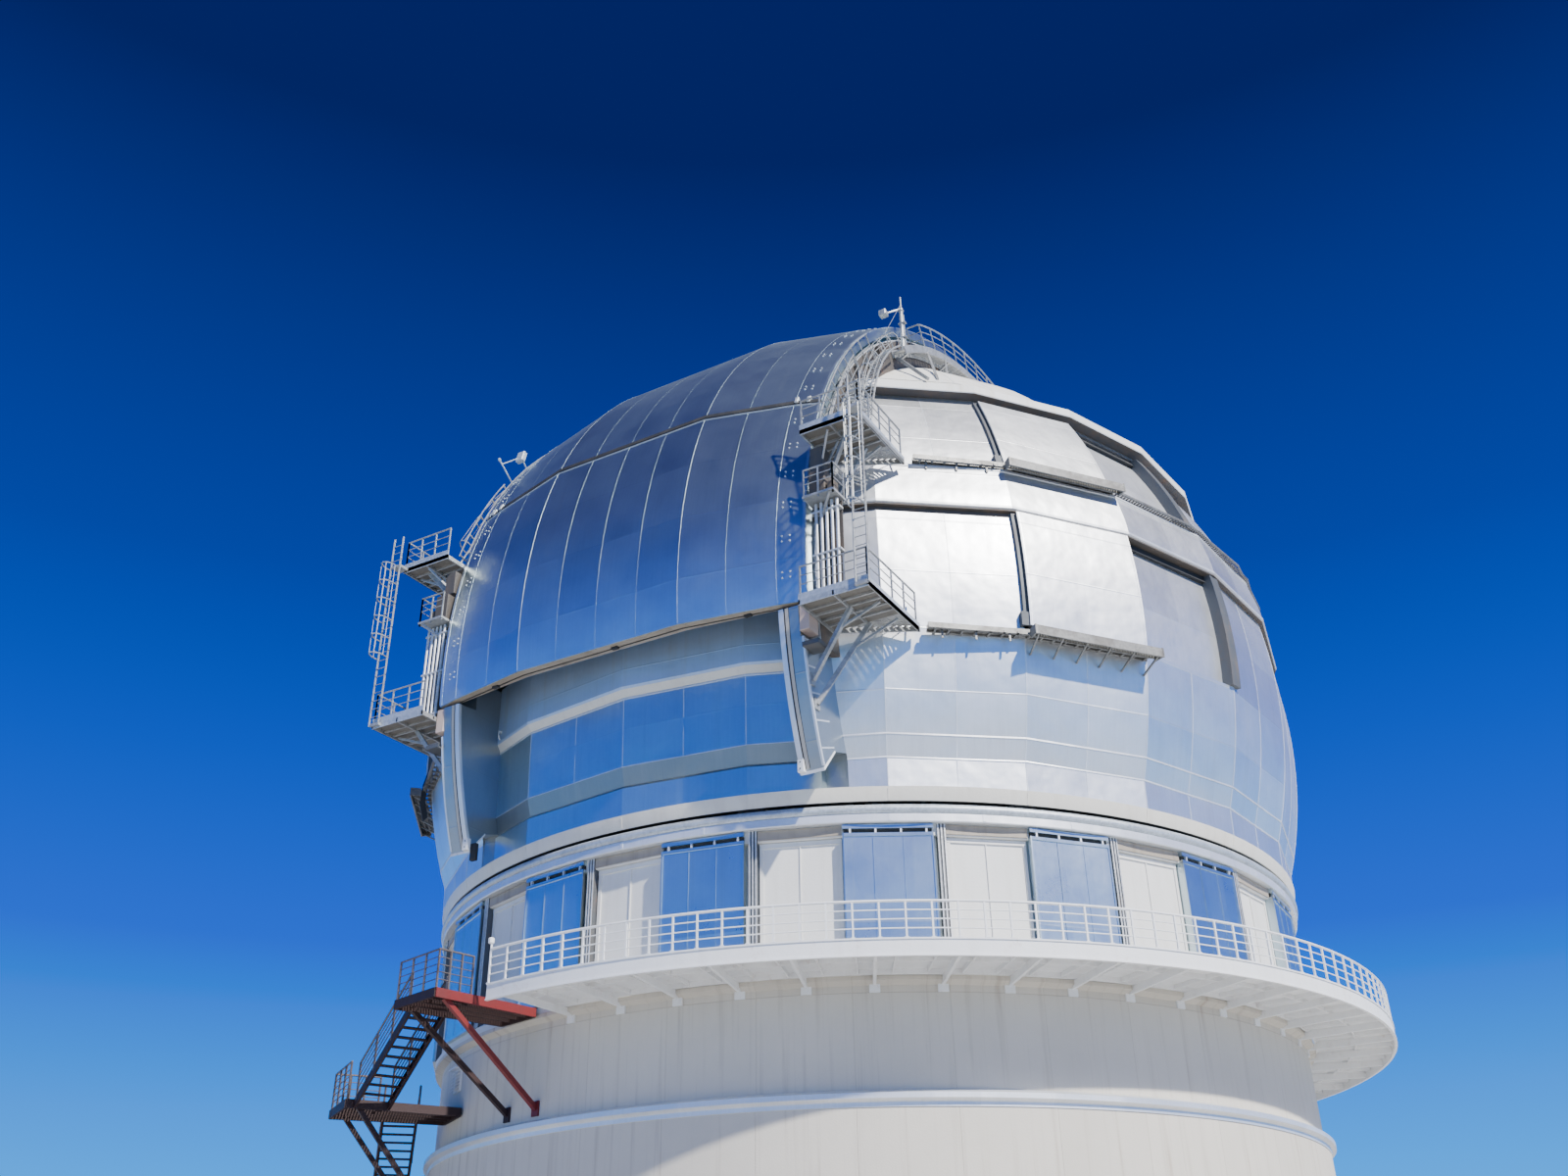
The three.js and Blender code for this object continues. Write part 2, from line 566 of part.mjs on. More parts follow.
// Leg under the girder's front end, set nearer to the slit, with its foot hung over the skirt
function buildLegs() {
  const seat = SKIRT_TOP + FIT_GAP;
  const plate = sidePlate([
    ...LEG_TURNS.map((beta) => archPoint(LEG_OUTER, beta)),
    [-15.15, 17.85], [-14.3, 18.1], [-14.3, seat], [-13.2, seat], [-13.2, 18.2], archPoint(ARCH_INNER, -10),
    archPoint(ARCH_INNER, LEG_TOP), archPoint(LEG_INSIDE, LEG_TOP), archPoint(LEG_INSIDE, LEG_TURNS[0]),
  ], LEG_X);
  const girder = block([ARCH_X[0] - FIT_GAP, 10], [-30, 0], [ARCH_END_Z - FIT_GAP, 45]);
  addPair('arch_leg', plate.subtract(girder), GALVANISED);
}

// Set-back wall under the shutter's lip, with a proud head that runs up behind the lip
function buildFrontWall() {
  const profile = [
    [15.98, SKIRT_TOP + FIT_GAP], [16.0, 17.9], [15.9, 18.0], [16.05, 18.57], [16.12, 20.85],
    [16.32, 21.15], [16.32, 23.2], [15.95, 23.2], [15.6, 19.2], [15.45, SKIRT_TOP + FIT_GAP],
  ];
  const between = block([-LEG_X[0] + FIT_GAP, LEG_X[0] - FIT_GAP], [-30, 0], [0, 45]);
  addNode('front_wall', revolve(profile, SHELL_STEPS).intersect(between), ALUMINIUM);
}

// Fixed shell behind the slit, from just past the zenith down to the skirt
function buildRearWall() {
  const edge = ARCH_X[0] - FIT_GAP;
  const across = (radius) => [-edge, -3.4, 0, 3.4, edge].map((x) => [x, sphereRadius(radius, SPHERE_Z + x)]);
  const skin = revolveOver([...across(SPHERE_R), ...across(SHELL_INNER).reverse()], LEAF_STEPS / 2);
  const above = block([-30, 30], [-30, 30], [SKIRT_TOP + FIT_GAP, 45]);
  addNode('rear_wall', skin.intersect(overSector(110, 205)).intersect(above), ALUMINIUM);
}

// The shutter: two leaves that turn together around the slit's horizontal axis
function buildShutter() {
  const outer = [[-SLIT_HALF, 16.95], [-6.24, 17.2], [-3.1, 17.83], [3.1, 17.83], [6.24, 17.2], [SLIT_HALF, 16.95]];
  const inner = [[SLIT_HALF, 16.6], [6.2, 16.82], [3.1, 17.27], [-3.1, 17.27], [-6.2, 16.82], [-SLIT_HALF, 16.6]];
  const skin = revolveOver([...outer, ...inner], LEAF_STEPS);
  const leaves = [
    ['shutter_lower', [LEAF_FRONT, LEAF_SPLIT - 0.15], [0, 20]],
    ['shutter_upper', [LEAF_SPLIT + 0.15, LEAF_BACK], [30, 60, 85, 105]],
  ];
  for (const [name, [from, to], trucks] of leaves) {
    const pieces = [skin.intersect(overSector(from, to))];
    for (const beta of trucks) {
      for (const x of [-7.03, 7.03]) {
        const foot = over(x, SHUTTER_RAIL + FIT_GAP, beta);
        const outward = over(0, 1, beta).sub(new THREE.Vector3(0, 0, SPHERE_Z));
        const head = foot.clone().addScaledVector(outward, 0.25);
        pieces.push(beam(foot, head, 0.2, 0.14, new THREE.Vector3(1, 0, 0)));
      }
    }
    addNode(name, joined(pieces), ALUMINIUM);
  }
}

// Rails and tray on which a vent panel slides, carried on bearers against the shell
function buildTracks() {
  const tracks = [
    { name: 'lower', z: LOWER_TRACK_Z - 0.2, reach: 1.15, outline: LOWER_OUTLINE },
    { name: 'upper', z: UPPER_TRACK_Z + 0.05, reach: 1.1, outline: UPPER_OUTLINE },
  ];
  const run = sector(34.5, 60);
  const wide = sector(45, 60);
  for (const { name, z, reach, outline } of tracks) {
    const skin = sphereRadius(SPHERE_R, z);
    const bar = (near, far, heights) => revolve(rectangle([skin + near, skin + far], heights), SHELL_STEPS);
    const face = outline.map(([radius, height]) => [radius + FIT_GAP, height]);
    const core = revolve([[0, face[0][1]], ...face, [0, face.at(-1)[1]]], SHELL_STEPS);
    const pieces = [
      bar(-0.2, 0.4, [z, z + 0.07]).intersect(run),
      bar(0.06, 0.16, [z + 0.05, z + 0.17]).intersect(run),
      bar(0.27, 0.37, [z + 0.05, z + 0.17]).intersect(run),
      bar(0.38, reach, [z - 0.02, z + 0.05]).intersect(wide),
      bar(reach - 0.06, reach, [z - 0.22, z + 0.16]).intersect(wide),
    ];
    addPair(`vent_track_${name}`, joined(pieces).subtract(core), GALVANISED);
  }
}

// Access platform beside the slit, each strut from a point under the deck to a foot beside it
function platformSolid({ z, front, outerX, skin, struts, beside }) {
  const x0 = ARCH_X[1] + FIT_GAP;
  const skinY = (x) => -Math.sqrt(skin ** 2 - x ** 2);
  const deck = flatPlate([[x0, front], [outerX, front], [outerX, skinY(outerX)], [x0, skinY(x0)]], [z - 0.18, z]);
  const edge = 0.05;
  const guard = [[x0 + edge, front + edge], [outerX - edge, front + edge], [outerX - edge, skinY(outerX) - 0.15]];
  const pieces = [deck, ...guardRail(guard.map(([x, y]) => new THREE.Vector3(x, y, z)))];
  for (const [head, foot] of struts) {
    pieces.push(beam(new THREE.Vector3(...head, z - 0.12), new THREE.Vector3(...foot), 0.12, 0.14));
  }
  return joined(pieces).intersect(beside);
}

const LADDER_WIDTH = 0.42;
const CAGE_DEPTH = 0.62;

// Two stiles with rungs set into them, through stations that have an outward direction each
function ladder(stations, across, rungs) {
  const shift = across.clone().multiplyScalar(LADDER_WIDTH / 2);
  const stiles = [shift, shift.clone().negate()].map((side) => tube(stations.map((p) => p.clone().add(side)), 0.04));
  const path = new THREE.CatmullRomCurve3(stations);
  const pieces = [...stiles];
  for (let i = 1; i < rungs; i += 1) {
    const centre = path.getPointAt(i / rungs);
    pieces.push(rod(centre.clone().add(shift), centre.clone().sub(shift), 0.022, 4));
  }
  return pieces;
}

// Hoops round a ladder at the stations given, tied by three straps
function cage(stations, outward, across) {
  const angles = [0, 45, 90, 135, 180].map((angle) => angle * DEG);
  const hoops = stations.map((centre, i) => angles.map((angle) => centre.clone()
    .addScaledVector(across, (-LADDER_WIDTH / 2) * Math.cos(angle))
    .addScaledVector(outward[i], CAGE_DEPTH * Math.sin(angle))));
  const pieces = hoops.map((points) => tube(points, 0.026));
  for (const k of [1, 2, 3]) pieces.push(tube(hoops.map((points) => points[k]), 0.022));
  return pieces;
}

const LOWER_PLATFORM = {
  z: LOWER_TRACK_Z - 0.12,
  front: -17.6,
  outerX: 9.5,
  skin: 17.1,
  struts: [
    [[8.4, -16.6], [LEG_X[1] - 0.05, -16.38, 19.55]],
    [[8.4, -15.4], [LEG_X[1] - 0.05, -16.2, 18.93]],
  ],
  beside: besideLeg,
};
const UPPER_PLATFORM = {
  z: UPPER_TRACK_Z - 0.12,
  front: -17.3,
  outerX: 9.3,
  skin: 16.9,
  struts: [
    [[8.6, -16.7], [ARCH_X[1] - 0.1, -15.9, 25.9]],
    [[8.6, -15.5], [ARCH_X[1] - 0.1, -15.6, 25.6]],
  ],
  beside: besideArch,
};

function buildPlatforms() {
  const [lower, upper] = [LOWER_PLATFORM, UPPER_PLATFORM];
  addPair('platform_lower', platformSolid(lower), GALVANISED);
  addPair('platform_upper', platformSolid(upper), GALVANISED);

  const x = lower.outerX - 0.15;
  const across = new THREE.Vector3(1, 0, 0);
  const forward = new THREE.Vector3(0, -1, 0);
  const station = (z) => new THREE.Vector3(x, lower.front - 0.07, z);
  const climb = ladder([lower.z - 0.1, 25.3, upper.z + 1.1].map(station), across, 14);
  const hoops = [24.2, 25.6, 27.0, 28.4].map(station);
  const ties = [lower, upper].map(({ z, front }) =>
    block([x - 0.25, x + 0.15], [lower.front - 0.1, front - FIT_GAP], [z - 0.14, z - 0.04]));
  addPair('tower_ladder', joined(climb, ties, cage(hoops, hoops.map(() => forward), across)), GALVANISED);
}

// Caged ladder from the upper platform to the crown, leaning in towards the slit as it rises
function buildArchLadder() {
  const rho = 16.1;
  const [foot, head] = [16.3, 50.5];
  const leanX = (beta) => 8.6 - (1.1 * (beta - foot)) / (head - foot);
  const betas = Array.from({ length: 6 }, (_, i) => foot + ((head - foot) * i) / 5);
  const stations = betas.map((beta) => over(leanX(beta), rho, beta));
  const outward = betas.map((beta) => over(0, 1, beta).sub(new THREE.Vector3(0, 0, SPHERE_Z)));
  const across = new THREE.Vector3(1, 0, 0);
  const pieces = [...ladder(stations, across, 24), ...cage(stations.slice(1), outward.slice(1), across)];
  for (const beta of [20, 30, 40, 49]) {
    const root = over(ARCH_X[1] + FIT_GAP, rho - 0.06, beta);
    pieces.push(beam(root, over(leanX(beta) - 0.2, rho - 0.06, beta), 0.1, 0.12));
  }
  addPair('arch_ladder', joined(pieces), GALVANISED);
}

// Gallery that passes over the crown beside the slit, with its rail from where it turns the corner
const CROWN_WALK = { x: [ARCH_X[1] + FIT_GAP, 7.8], rho: 15.95, betas: [51.2, 120], railFrom: 60 };

function crownWalkSolid() {
  const { x, rho, betas: [from, to], railFrom } = CROWN_WALK;
  const outline = [
    [x[0], rho - 0.1], [x[1] - 0.06, rho - 0.1], [x[1] - 0.06, rho - 0.2], [x[1], rho - 0.2],
    [x[1], rho + 0.1], [x[1] - 0.06, rho + 0.1], [x[1] - 0.06, rho], [x[0], rho],
  ];
  const pieces = [revolveOver(outline, 36).intersect(overSector(from, to))];
  const posts = Array.from({ length: 8 }, (_, i) => railFrom + ((to - 0.3 - railFrom) * i) / 7);
  const railX = x[1] - 0.03;
  for (const [height, size] of [[1.0, 0.04], [0.55, 0.03]]) {
    pieces.push(tube(posts.map((beta) => over(railX, rho + height, beta)), size));
    pieces.push(rail([over(x[0] + 0.06, rho + height, railFrom), over(railX, rho + height, railFrom)], size));
  }
  for (const beta of posts) {
    const [low, high] = [rho - 0.15, rho + 1.0].map((distance) => over(railX, distance, beta));
    pieces.push(beam(low, high, 0.05, 0.05, new THREE.Vector3(1, 0, 0)));
  }
  pieces.push(beam(over(x[0] + 0.06, rho - 0.05, railFrom), over(x[0] + 0.06, rho + 1.0, railFrom), 0.05, 0.05));
  pieces.push(beam(over(railX, rho - 0.15, railFrom + 0.5), new THREE.Vector3(8.9, -9.7, 34.1), 0.09, 0.09));
  for (const beta of [54, 70, 90, 110, 118]) {
    pieces.push(beam(over(x[1] - 0.1, rho - 0.1, beta), over(ARCH_X[1] - 0.05, rho - 0.35, beta), 0.08, 0.1));
  }
  return pieces;
}

function mastSolid() {
  const foot = over(7.5, CROWN_WALK.rho - 0.03, 53.5);
  const at = (dx, dy, z) => new THREE.Vector3(foot.x + dx, foot.y + dy, z);
  return [
    rod(foot, at(0, 0, 38.95), 0.09, 8),
    beam(at(0, 0, 38.35), at(-0.5, -0.5, 37.95), 0.06, 0.06),
    block([foot.x - 0.65, foot.x - 0.35], [foot.y - 0.7, foot.y - 0.4], [37.8, 38.05]),
  ];
}

function buildCrownWalks() {
  const surface = [34.6, 36.3, 37.7, 38.8, 39.35].map((z) => [sphereRadius(SPHERE_R + FIT_GAP, z), z]);
  const core = revolve([[0, CROWN_Z], [CROWN_RIM, CROWN_Z], [14.36, 32.95], ...surface, [0, 39.35]], SHELL_STEPS);
  const walk = joined(crownWalkSolid()).intersect(besideArch).subtract(core);
  addNode('crown_walk_right', joined(walk, mastSolid()), GALVANISED, 1);
  addNode('crown_walk_left', walk, GALVANISED, -1);
}

buildGroundFloor();
buildDrumWall();
buildObservingFloor();
buildVentWalls();
buildRingBeam();
buildWalkway();
buildWalkwayRailing();
buildStair();
buildSkirtRing();
buildShells();
buildCrown();
buildArches();
buildLegs();
buildFrontWall();
buildRearWall();
buildShutter();
buildTracks();
buildPlatforms();
buildArchLadder();
buildCrownWalks();

export default part;
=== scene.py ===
"""Observatory dome, scale model 1:2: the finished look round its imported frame.

Sizes are in metres of the full-size building and are halved when a piece is placed.
+Z is up, the origin is on the dome's axis at ground level, and the slit faces -Y.
Azimuth is 0 at the slit and grows towards +X. Beta is the angle above the horizontal in
the plane of the slit, from the front over the zenith to the back.
"""

import logging
import math
from collections.abc import Iterable, Sequence
from dataclasses import dataclass, field
from enum import Enum
from functools import cache

import bmesh
import bpy
from mathutils import Matrix, Vector

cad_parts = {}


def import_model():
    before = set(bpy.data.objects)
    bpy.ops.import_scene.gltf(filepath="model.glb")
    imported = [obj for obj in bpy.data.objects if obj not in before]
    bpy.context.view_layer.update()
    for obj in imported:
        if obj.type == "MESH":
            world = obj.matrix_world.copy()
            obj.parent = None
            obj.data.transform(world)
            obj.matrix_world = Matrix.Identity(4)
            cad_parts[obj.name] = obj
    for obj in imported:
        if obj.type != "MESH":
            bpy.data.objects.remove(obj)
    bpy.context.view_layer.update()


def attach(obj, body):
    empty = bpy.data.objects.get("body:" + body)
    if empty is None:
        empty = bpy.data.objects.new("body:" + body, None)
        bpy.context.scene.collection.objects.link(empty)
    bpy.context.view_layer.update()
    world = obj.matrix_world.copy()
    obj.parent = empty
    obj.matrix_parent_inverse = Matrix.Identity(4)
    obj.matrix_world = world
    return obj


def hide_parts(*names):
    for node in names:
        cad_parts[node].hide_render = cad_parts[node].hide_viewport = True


log = logging.getLogger("observatory")

SCALE = 0.5
SPHERE_Z = 23.49
SPHERE_R = 17.0
SHELL_INNER = 16.6
DOME_FOOT = 17.0006
ARCH_X = (6.85, 7.2)
ARCH_END_Z = 20.9
LEG_X = (6.2, 6.95)
GAP = 0.0006
BESIDE = ARCH_X[1] + GAP
FACET = 15.0
SIDE = (15.0, 165.0)
FIRST_BAY = -24.6
GUARD = 1.1
DEGREES = 180 / math.pi
X_AXIS = Vector((1, 0, 0))
Y_AXIS = Vector((0, 1, 0))
Z_AXIS = Vector((0, 0, 1))

Point = tuple[float, float]
Colour = tuple[float, float, float]
Cut = tuple[Vector, Vector]
Socket = bpy.types.NodeSocket
HERE = (Matrix.Identity(4),)
BOTH = (Matrix.Identity(4), Matrix.Scale(-1, 4, X_AXIS))


class Body(Enum):
    """The bodies that move on their own."""

    BUILDING = "building"
    DOME = "dome"
    UPPER_LEAF = "upper_leaf"
    LOWER_LEAF = "lower_leaf"


class Slot(Enum):
    """The material slots of the record."""

    CONCRETE = "concrete"
    SCREED = "floor_screed"
    ALUMINIUM = "aluminium"
    PALE = "pale_panel"
    CROWN = "crown_cap"
    CLADDING = "cladding"
    GALVANISED = "galvanised"
    WHITE = "white_steel"
    RED = "oxide_red"


class SheetLayout(Enum):
    """How sheets are laid on a surface: the size of one across and along, in degrees or metres.

    The dome has columns round its axis and rows by height, a leaf has columns across the slit
    and rows over the arch, and the drum has columns in its bays and one row.
    """

    DOME = (7.5, 1.95)
    LEAF = (1.55, 7.5)
    DRUM = (3.34, 4.35)


# Places

def polar(radius: float, azimuth: float, height: float) -> Vector:
    """A point on a circle around the dome's axis."""
    angle = math.radians(azimuth)
    return Vector((radius * math.sin(angle), -radius * math.cos(angle), height))


def over(x: float, rho: float, beta: float) -> Vector:
    """A point on a circle around the slit's horizontal axis."""
    angle = math.radians(beta)
    return Vector((x, -rho * math.cos(angle), SPHERE_Z + rho * math.sin(angle)))


def at_azimuth(azimuth: float, radius: float = 0.0, height: float = 0.0) -> Matrix:
    """A frame with X outward, Y towards growing azimuth and Z up.

    Args:
        azimuth: where the frame stands, in degrees.
        radius: its distance from the dome's axis.
        height: its height above the ground.

    Returns:
        The matrix from that frame to the building's.
    """
    turn = Matrix.Rotation(math.radians(azimuth - 90), 4, "Z")
    return turn @ Matrix.Translation((radius, 0, height))


def at_beta(beta: float, x: float = 0.0, rho: float = 0.0) -> Matrix:
    """A frame with X along the slit's axis, Y up the arch and Z outward.

    Args:
        beta: where the frame stands on the arch, in degrees.
        x: its place across the slit.
        rho: its distance from the slit's axis.

    Returns:
        The matrix from that frame to the building's.
    """
    turn = Matrix.Rotation(math.radians(90 - beta), 4, "X")
    return Matrix.Translation((0, 0, SPHERE_Z)) @ turn @ Matrix.Translation((x, 0, rho))


def sphere_radius(height: float, radius: float = SPHERE_R) -> float:
    """The distance from the dome's axis to the sphere at a height."""
    return math.sqrt(radius ** 2 - (height - SPHERE_Z) ** 2)


def facet(radius: float, azimuth: float, step: float = FACET, phase: float = 0.0) -> float:
    """The distance from the axis to a flat facet whose corners stand at the radius.

    Args:
        radius: the distance to the facet's corners.
        azimuth: where the facet is met.
        step: the angle that a facet covers.
        phase: the azimuth of any corner.

    Returns:
        The distance from the axis to the facet at that azimuth.
    """
    off = (azimuth - phase) % step - step / 2
    return radius * math.cos(math.radians(step / 2)) / math.cos(math.radians(off))


def spread(first: float, last: float, count: int) -> list[float]:
    """Evenly spaced numbers, both ends among them."""
    return [first + (last - first) * i / (count - 1) for i in range(count)]


def round_section(across: float, up: float, radius: float, sides: int = 6) -> list[Point]:
    """The corners of a round bar's section, centred on a point."""
    angles = [2 * math.pi * (i + 0.5) / sides for i in range(sides)]
    return [(across + radius * math.cos(a), up + radius * math.sin(a)) for a in angles]


def rectangle(near: float, far: float, low: float, high: float) -> list[Point]:
    """The corners of a rectangular section."""
    return [(near, low), (far, low), (far, high), (near, high)]


def outside(x: float) -> tuple[Cut, ...]:
    """The cut that keeps what lies further from the slit's middle than x."""
    return ((Vector((x, 0, 0)), -X_AXIS),)


def mirrored(place: Matrix) -> list[Matrix]:
    """A place and its mirror image across the slit."""
    return [side @ place for side in BOTH]


# Mesh work

class Workpiece:
    """A mesh in the making, in metres of the full-size building."""

    def __init__(self) -> None:
        """Starts with nothing."""
        self.mesh = bmesh.new()

    def take(self, bit: bmesh.types.BMesh, copies: Iterable[Matrix] = HERE) -> None:
        """Adds a finished bit at each place and frees it.

        Args:
            bit: the closed shape to add.
            copies: the places to add it at.
        """
        scratch = bpy.data.meshes.new("scratch")
        bit.to_mesh(scratch)
        bit.free()
        for place in copies:
            twin = scratch.copy()
            twin.transform(place)
            self.mesh.from_mesh(twin)
            bpy.data.meshes.remove(twin)
        bpy.data.meshes.remove(scratch)

    def box(
        self, size: Sequence[float], places: Iterable[Matrix], bevel: float = 0.0,
    ) -> None:
        """Adds a box of one size, centred on each place.

        Args:
            size: its length along X, Y and Z of the place.
            places: the frames to put it in.
            bevel: the width of its bevelled edges, or 0 for sharp ones.
        """
        bit = bmesh.new()
        bmesh.ops.create_cube(bit, size=1.0, matrix=Matrix.Diagonal((*size, 1.0)))
        if bevel:
            bmesh.ops.bevel(
                bit, geom=bit.edges[:], offset=bevel, offset_type="OFFSET", segments=1,
                profile=0.5, affect="EDGES", material=-1, clamp_overlap=True,
            )
        self.take(bit, places)

    def block(
        self, low: Sequence[float], high: Sequence[float],
        copies: Iterable[Matrix] = HERE, bevel: float = 0.0,
    ) -> None:
        """Adds a box between two corners.

        Args:
            low: its lowest corner.
            high: its highest corner.
            copies: the places to add it at.
            bevel: the width of its bevelled edges, or 0 for sharp ones.
        """
        low, high = Vector(low), Vector(high)
        middle = Matrix.Translation((low + high) / 2)
        self.box(high - low, [copy @ middle for copy in copies], bevel)

    def blocks(
        self, rows: Iterable[tuple[Sequence[float], Sequence[float]]], bevel: float = 0.0,
    ) -> None:
        """Adds boxes to both sides of the slit, each between two corners."""
        for low, high in rows:
            self.block(low, high, BOTH, bevel)

    def bar(
        self, start: Vector, end: Vector, width: float, height: float,
        up: Vector = Z_AXIS, copies: Iterable[Matrix] = HERE,
    ) -> None:
        """Adds a box-section bar between two points.

        Args:
            start: the middle of one end.
            end: the middle of the other end.
            width: its size across.
            height: its size towards up.
            up: the direction that its height leans to.
            copies: the places to add it at.
        """
        along = (end - start).normalized()
        if abs(along.dot(up)) > 0.99:
            up = -Y_AXIS if abs(along.dot(Y_AXIS)) < 0.9 else X_AXIS
        side = up.cross(along).normalized()
        turn = Matrix((side, along.cross(side), along)).transposed().to_4x4()
        place = Matrix.Translation((start + end) / 2) @ turn
        size = (width, height, (end - start).length)
        self.box(size, [copy @ place for copy in copies])

    def rod(
        self, start: Vector, end: Vector, radius: float,
        sides: int = 6, tip: float | None = None, copies: Iterable[Matrix] = HERE,
    ) -> None:
        """Adds a round bar, or a cone, between two points.

        Args:
            start: the middle of one end.
            end: the middle of the other end.
            radius: its radius at the start.
            sides: how many sides it has.
            tip: its radius at the end, if it tapers.
            copies: the places to add it at.
        """
        along = end - start
        turn = along.to_track_quat("Z", "Y").to_matrix().to_4x4()
        place = Matrix.Translation((start + end) / 2) @ turn
        bit = bmesh.new()
        bmesh.ops.create_cone(
            bit, cap_ends=True, segments=sides, radius1=radius,
            radius2=radius if tip is None else tip, depth=along.length, matrix=place,
        )
        self.take(bit, copies)

    def path(
        self, points: Sequence[Vector], radius: float, sides: int = 6,
        copies: Iterable[Matrix] = HERE,
    ) -> None:
        """Adds a round bar through points, each stretch a little longer to close its corners."""
        for start, end in zip(points, points[1:]):
            reach = (end - start).normalized() * radius * 0.5
            self.rod(start - reach, end + reach, radius, sides, copies=copies)

    def spun(
        self, corners: Sequence[Vector], centre: Vector, axis: Vector, angle: float, steps: int,
        cuts: Sequence[Cut] = (), copies: Iterable[Matrix] = HERE,
    ) -> None:
        """Adds a closed outline turned around an axis.

        Args:
            corners: the outline's corners, in order.
            centre: a point on the axis.
            axis: the axis's direction.
            angle: how far it turns, in degrees; 360 closes the ring.
            steps: how many steps it turns in.
            cuts: planes to cut it by, each a point and the direction of the side that goes.
            copies: the places to add it at.
        """
        bit = bmesh.new()
        verts = [bit.verts.new(corner) for corner in corners]
        whole = angle >= 360
        if whole:
            edges = [bit.edges.new((a, b)) for a, b in zip(verts, verts[1:] + verts[:1])]
            geometry = verts + edges
        else:
            face = bit.faces.new(verts)
            geometry = [*verts, *face.edges, face]
        bmesh.ops.spin(
            bit, geom=geometry, cent=centre, axis=axis, dvec=(0, 0, 0), angle=math.radians(angle),
            steps=steps, use_merge=whole, use_normal_flip=False, use_duplicate=False,
        )
        self.trimmed(bit, cuts, copies)

    def trimmed(
        self, bit: bmesh.types.BMesh, cuts: Sequence[Cut], copies: Iterable[Matrix],
    ) -> None:
        """Cuts a bit by planes, closes it again and adds it."""
        for point, gone in cuts:
            everything = bit.verts[:] + bit.edges[:] + bit.faces[:]
            bmesh.ops.bisect_plane(
                bit, geom=everything, dist=1e-5, plane_co=point, plane_no=gone, clear_outer=True,
            )
            rim = [edge for edge in bit.edges if edge.is_boundary]
            if rim:
                bmesh.ops.edgeloop_fill(bit, edges=rim)
        bmesh.ops.recalc_face_normals(bit, faces=bit.faces[:])
        self.take(bit, copies)

    def ring(
        self, profile: Sequence[Point], span: Point = (0, 360), step: float = 2.5,
        cuts: Sequence[Cut] = (), copies: Iterable[Matrix] = HERE,
    ) -> None:
        """Adds a profile of radius and height turned around the dome's axis.

        Args:
            profile: the closed section's corners.
            span: the first and last azimuth.
            step: the most that one step turns, in degrees.
            cuts: planes to cut it by.
            copies: the places to add it at.
        """
        corners = [polar(radius, span[0], height) for radius, height in profile]
        angle = span[1] - span[0]
        steps = max(1, math.ceil(angle / step - 1e-6))
        self.spun(corners, Vector(), Z_AXIS, angle, steps, cuts, copies)

    def arch(
        self, profile: Sequence[Point], span: Point, step: float = 2.5,
        cuts: Sequence[Cut] = (), copies: Iterable[Matrix] = HERE,
    ) -> None:
        """Adds a profile of x and distance turned around the slit's horizontal axis.

        Args:
            profile: the closed section's corners.
            span: the first and last beta.
            step: the most that one step turns, in degrees.
            cuts: planes to cut it by.
            copies: the places to add it at.
        """
        corners = [over(x, rho, span[0]) for x, rho in profile]
        steps = max(1, math.ceil((span[1] - span[0]) / step - 1e-6))
        centre = Vector((0, 0, SPHERE_Z))
        self.spun(corners, centre, -X_AXIS, span[1] - span[0], steps, cuts, copies)

    def plate(
        self, outline: Sequence[Vector], push: Vector, copies: Iterable[Matrix] = HERE,
        cuts: Sequence[Cut] = (),
    ) -> None:
        """Adds a flat outline extruded by a vector."""
        bit = bmesh.new()
        face = bit.faces.new([bit.verts.new(corner) for corner in outline])
        grown = bmesh.ops.extrude_face_region(bit, geom=[face], use_keep_orig=True)
        top = [item for item in grown["geom"] if isinstance(item, bmesh.types.BMVert)]
        bmesh.ops.translate(bit, vec=push, verts=top)
        self.trimmed(bit, cuts, copies)

    def strip(
        self, outline: Sequence[Point], azimuth: float, width: float, proud: float,
        copies: Iterable[Matrix] = HERE, step: float = FACET, phase: float = 0.0,
    ) -> None:
        """Adds a raised strip that runs up a faceted wall.

        Args:
            outline: radius and height along the wall, from the bottom up.
            azimuth: where the strip runs.
            width: its width.
            proud: how far it stands out.
            copies: the places to add it at.
            step: the angle that one facet of the wall covers.
            phase: the azimuth of any corner of the wall.
        """
        half = math.degrees(width / 2 / outline[0][0])
        wall = [(facet(radius, azimuth, step, phase), height) for radius, height in outline]
        outer = [(radius + proud, height) for radius, height in wall]
        inner = [(radius - 0.03, height) for radius, height in reversed(wall)]
        self.ring([*outer, *inner], (azimuth - half, azimuth + half), 30, copies=copies)

    def place(
        self, name: str, finish: "Finish", body: Body, nodes: Sequence[str], sharp: float,
    ) -> None:
        """Makes the finished object at the model's scale.

        Args:
            name: the piece's name.
            finish: its finish.
            body: the body that it rides on.
            nodes: the solids that it stands for.
            sharp: the angle above which an edge stays sharp, in degrees.
        """
        bmesh.ops.recalc_face_normals(self.mesh, faces=self.mesh.faces[:])
        bmesh.ops.scale(self.mesh, vec=Vector((SCALE, SCALE, SCALE)), verts=self.mesh.verts[:])
        mesh = bpy.data.meshes.new(name)
        self.mesh.to_mesh(mesh)
        self.mesh.free()
        mesh.shade_smooth()
        mesh.set_sharp_from_angle(angle=math.radians(sharp))
        mesh.materials.append(finish.material())
        piece = bpy.data.objects.new(name, mesh)
        bpy.context.scene.collection.objects.link(piece)
        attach(piece, body.value)
        if nodes:
            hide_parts(*nodes)
        triangles = sum(len(polygon.vertices) - 2 for polygon in mesh.polygons)
        log.info("%s: %d triangles", name, triangles)


# Shader work

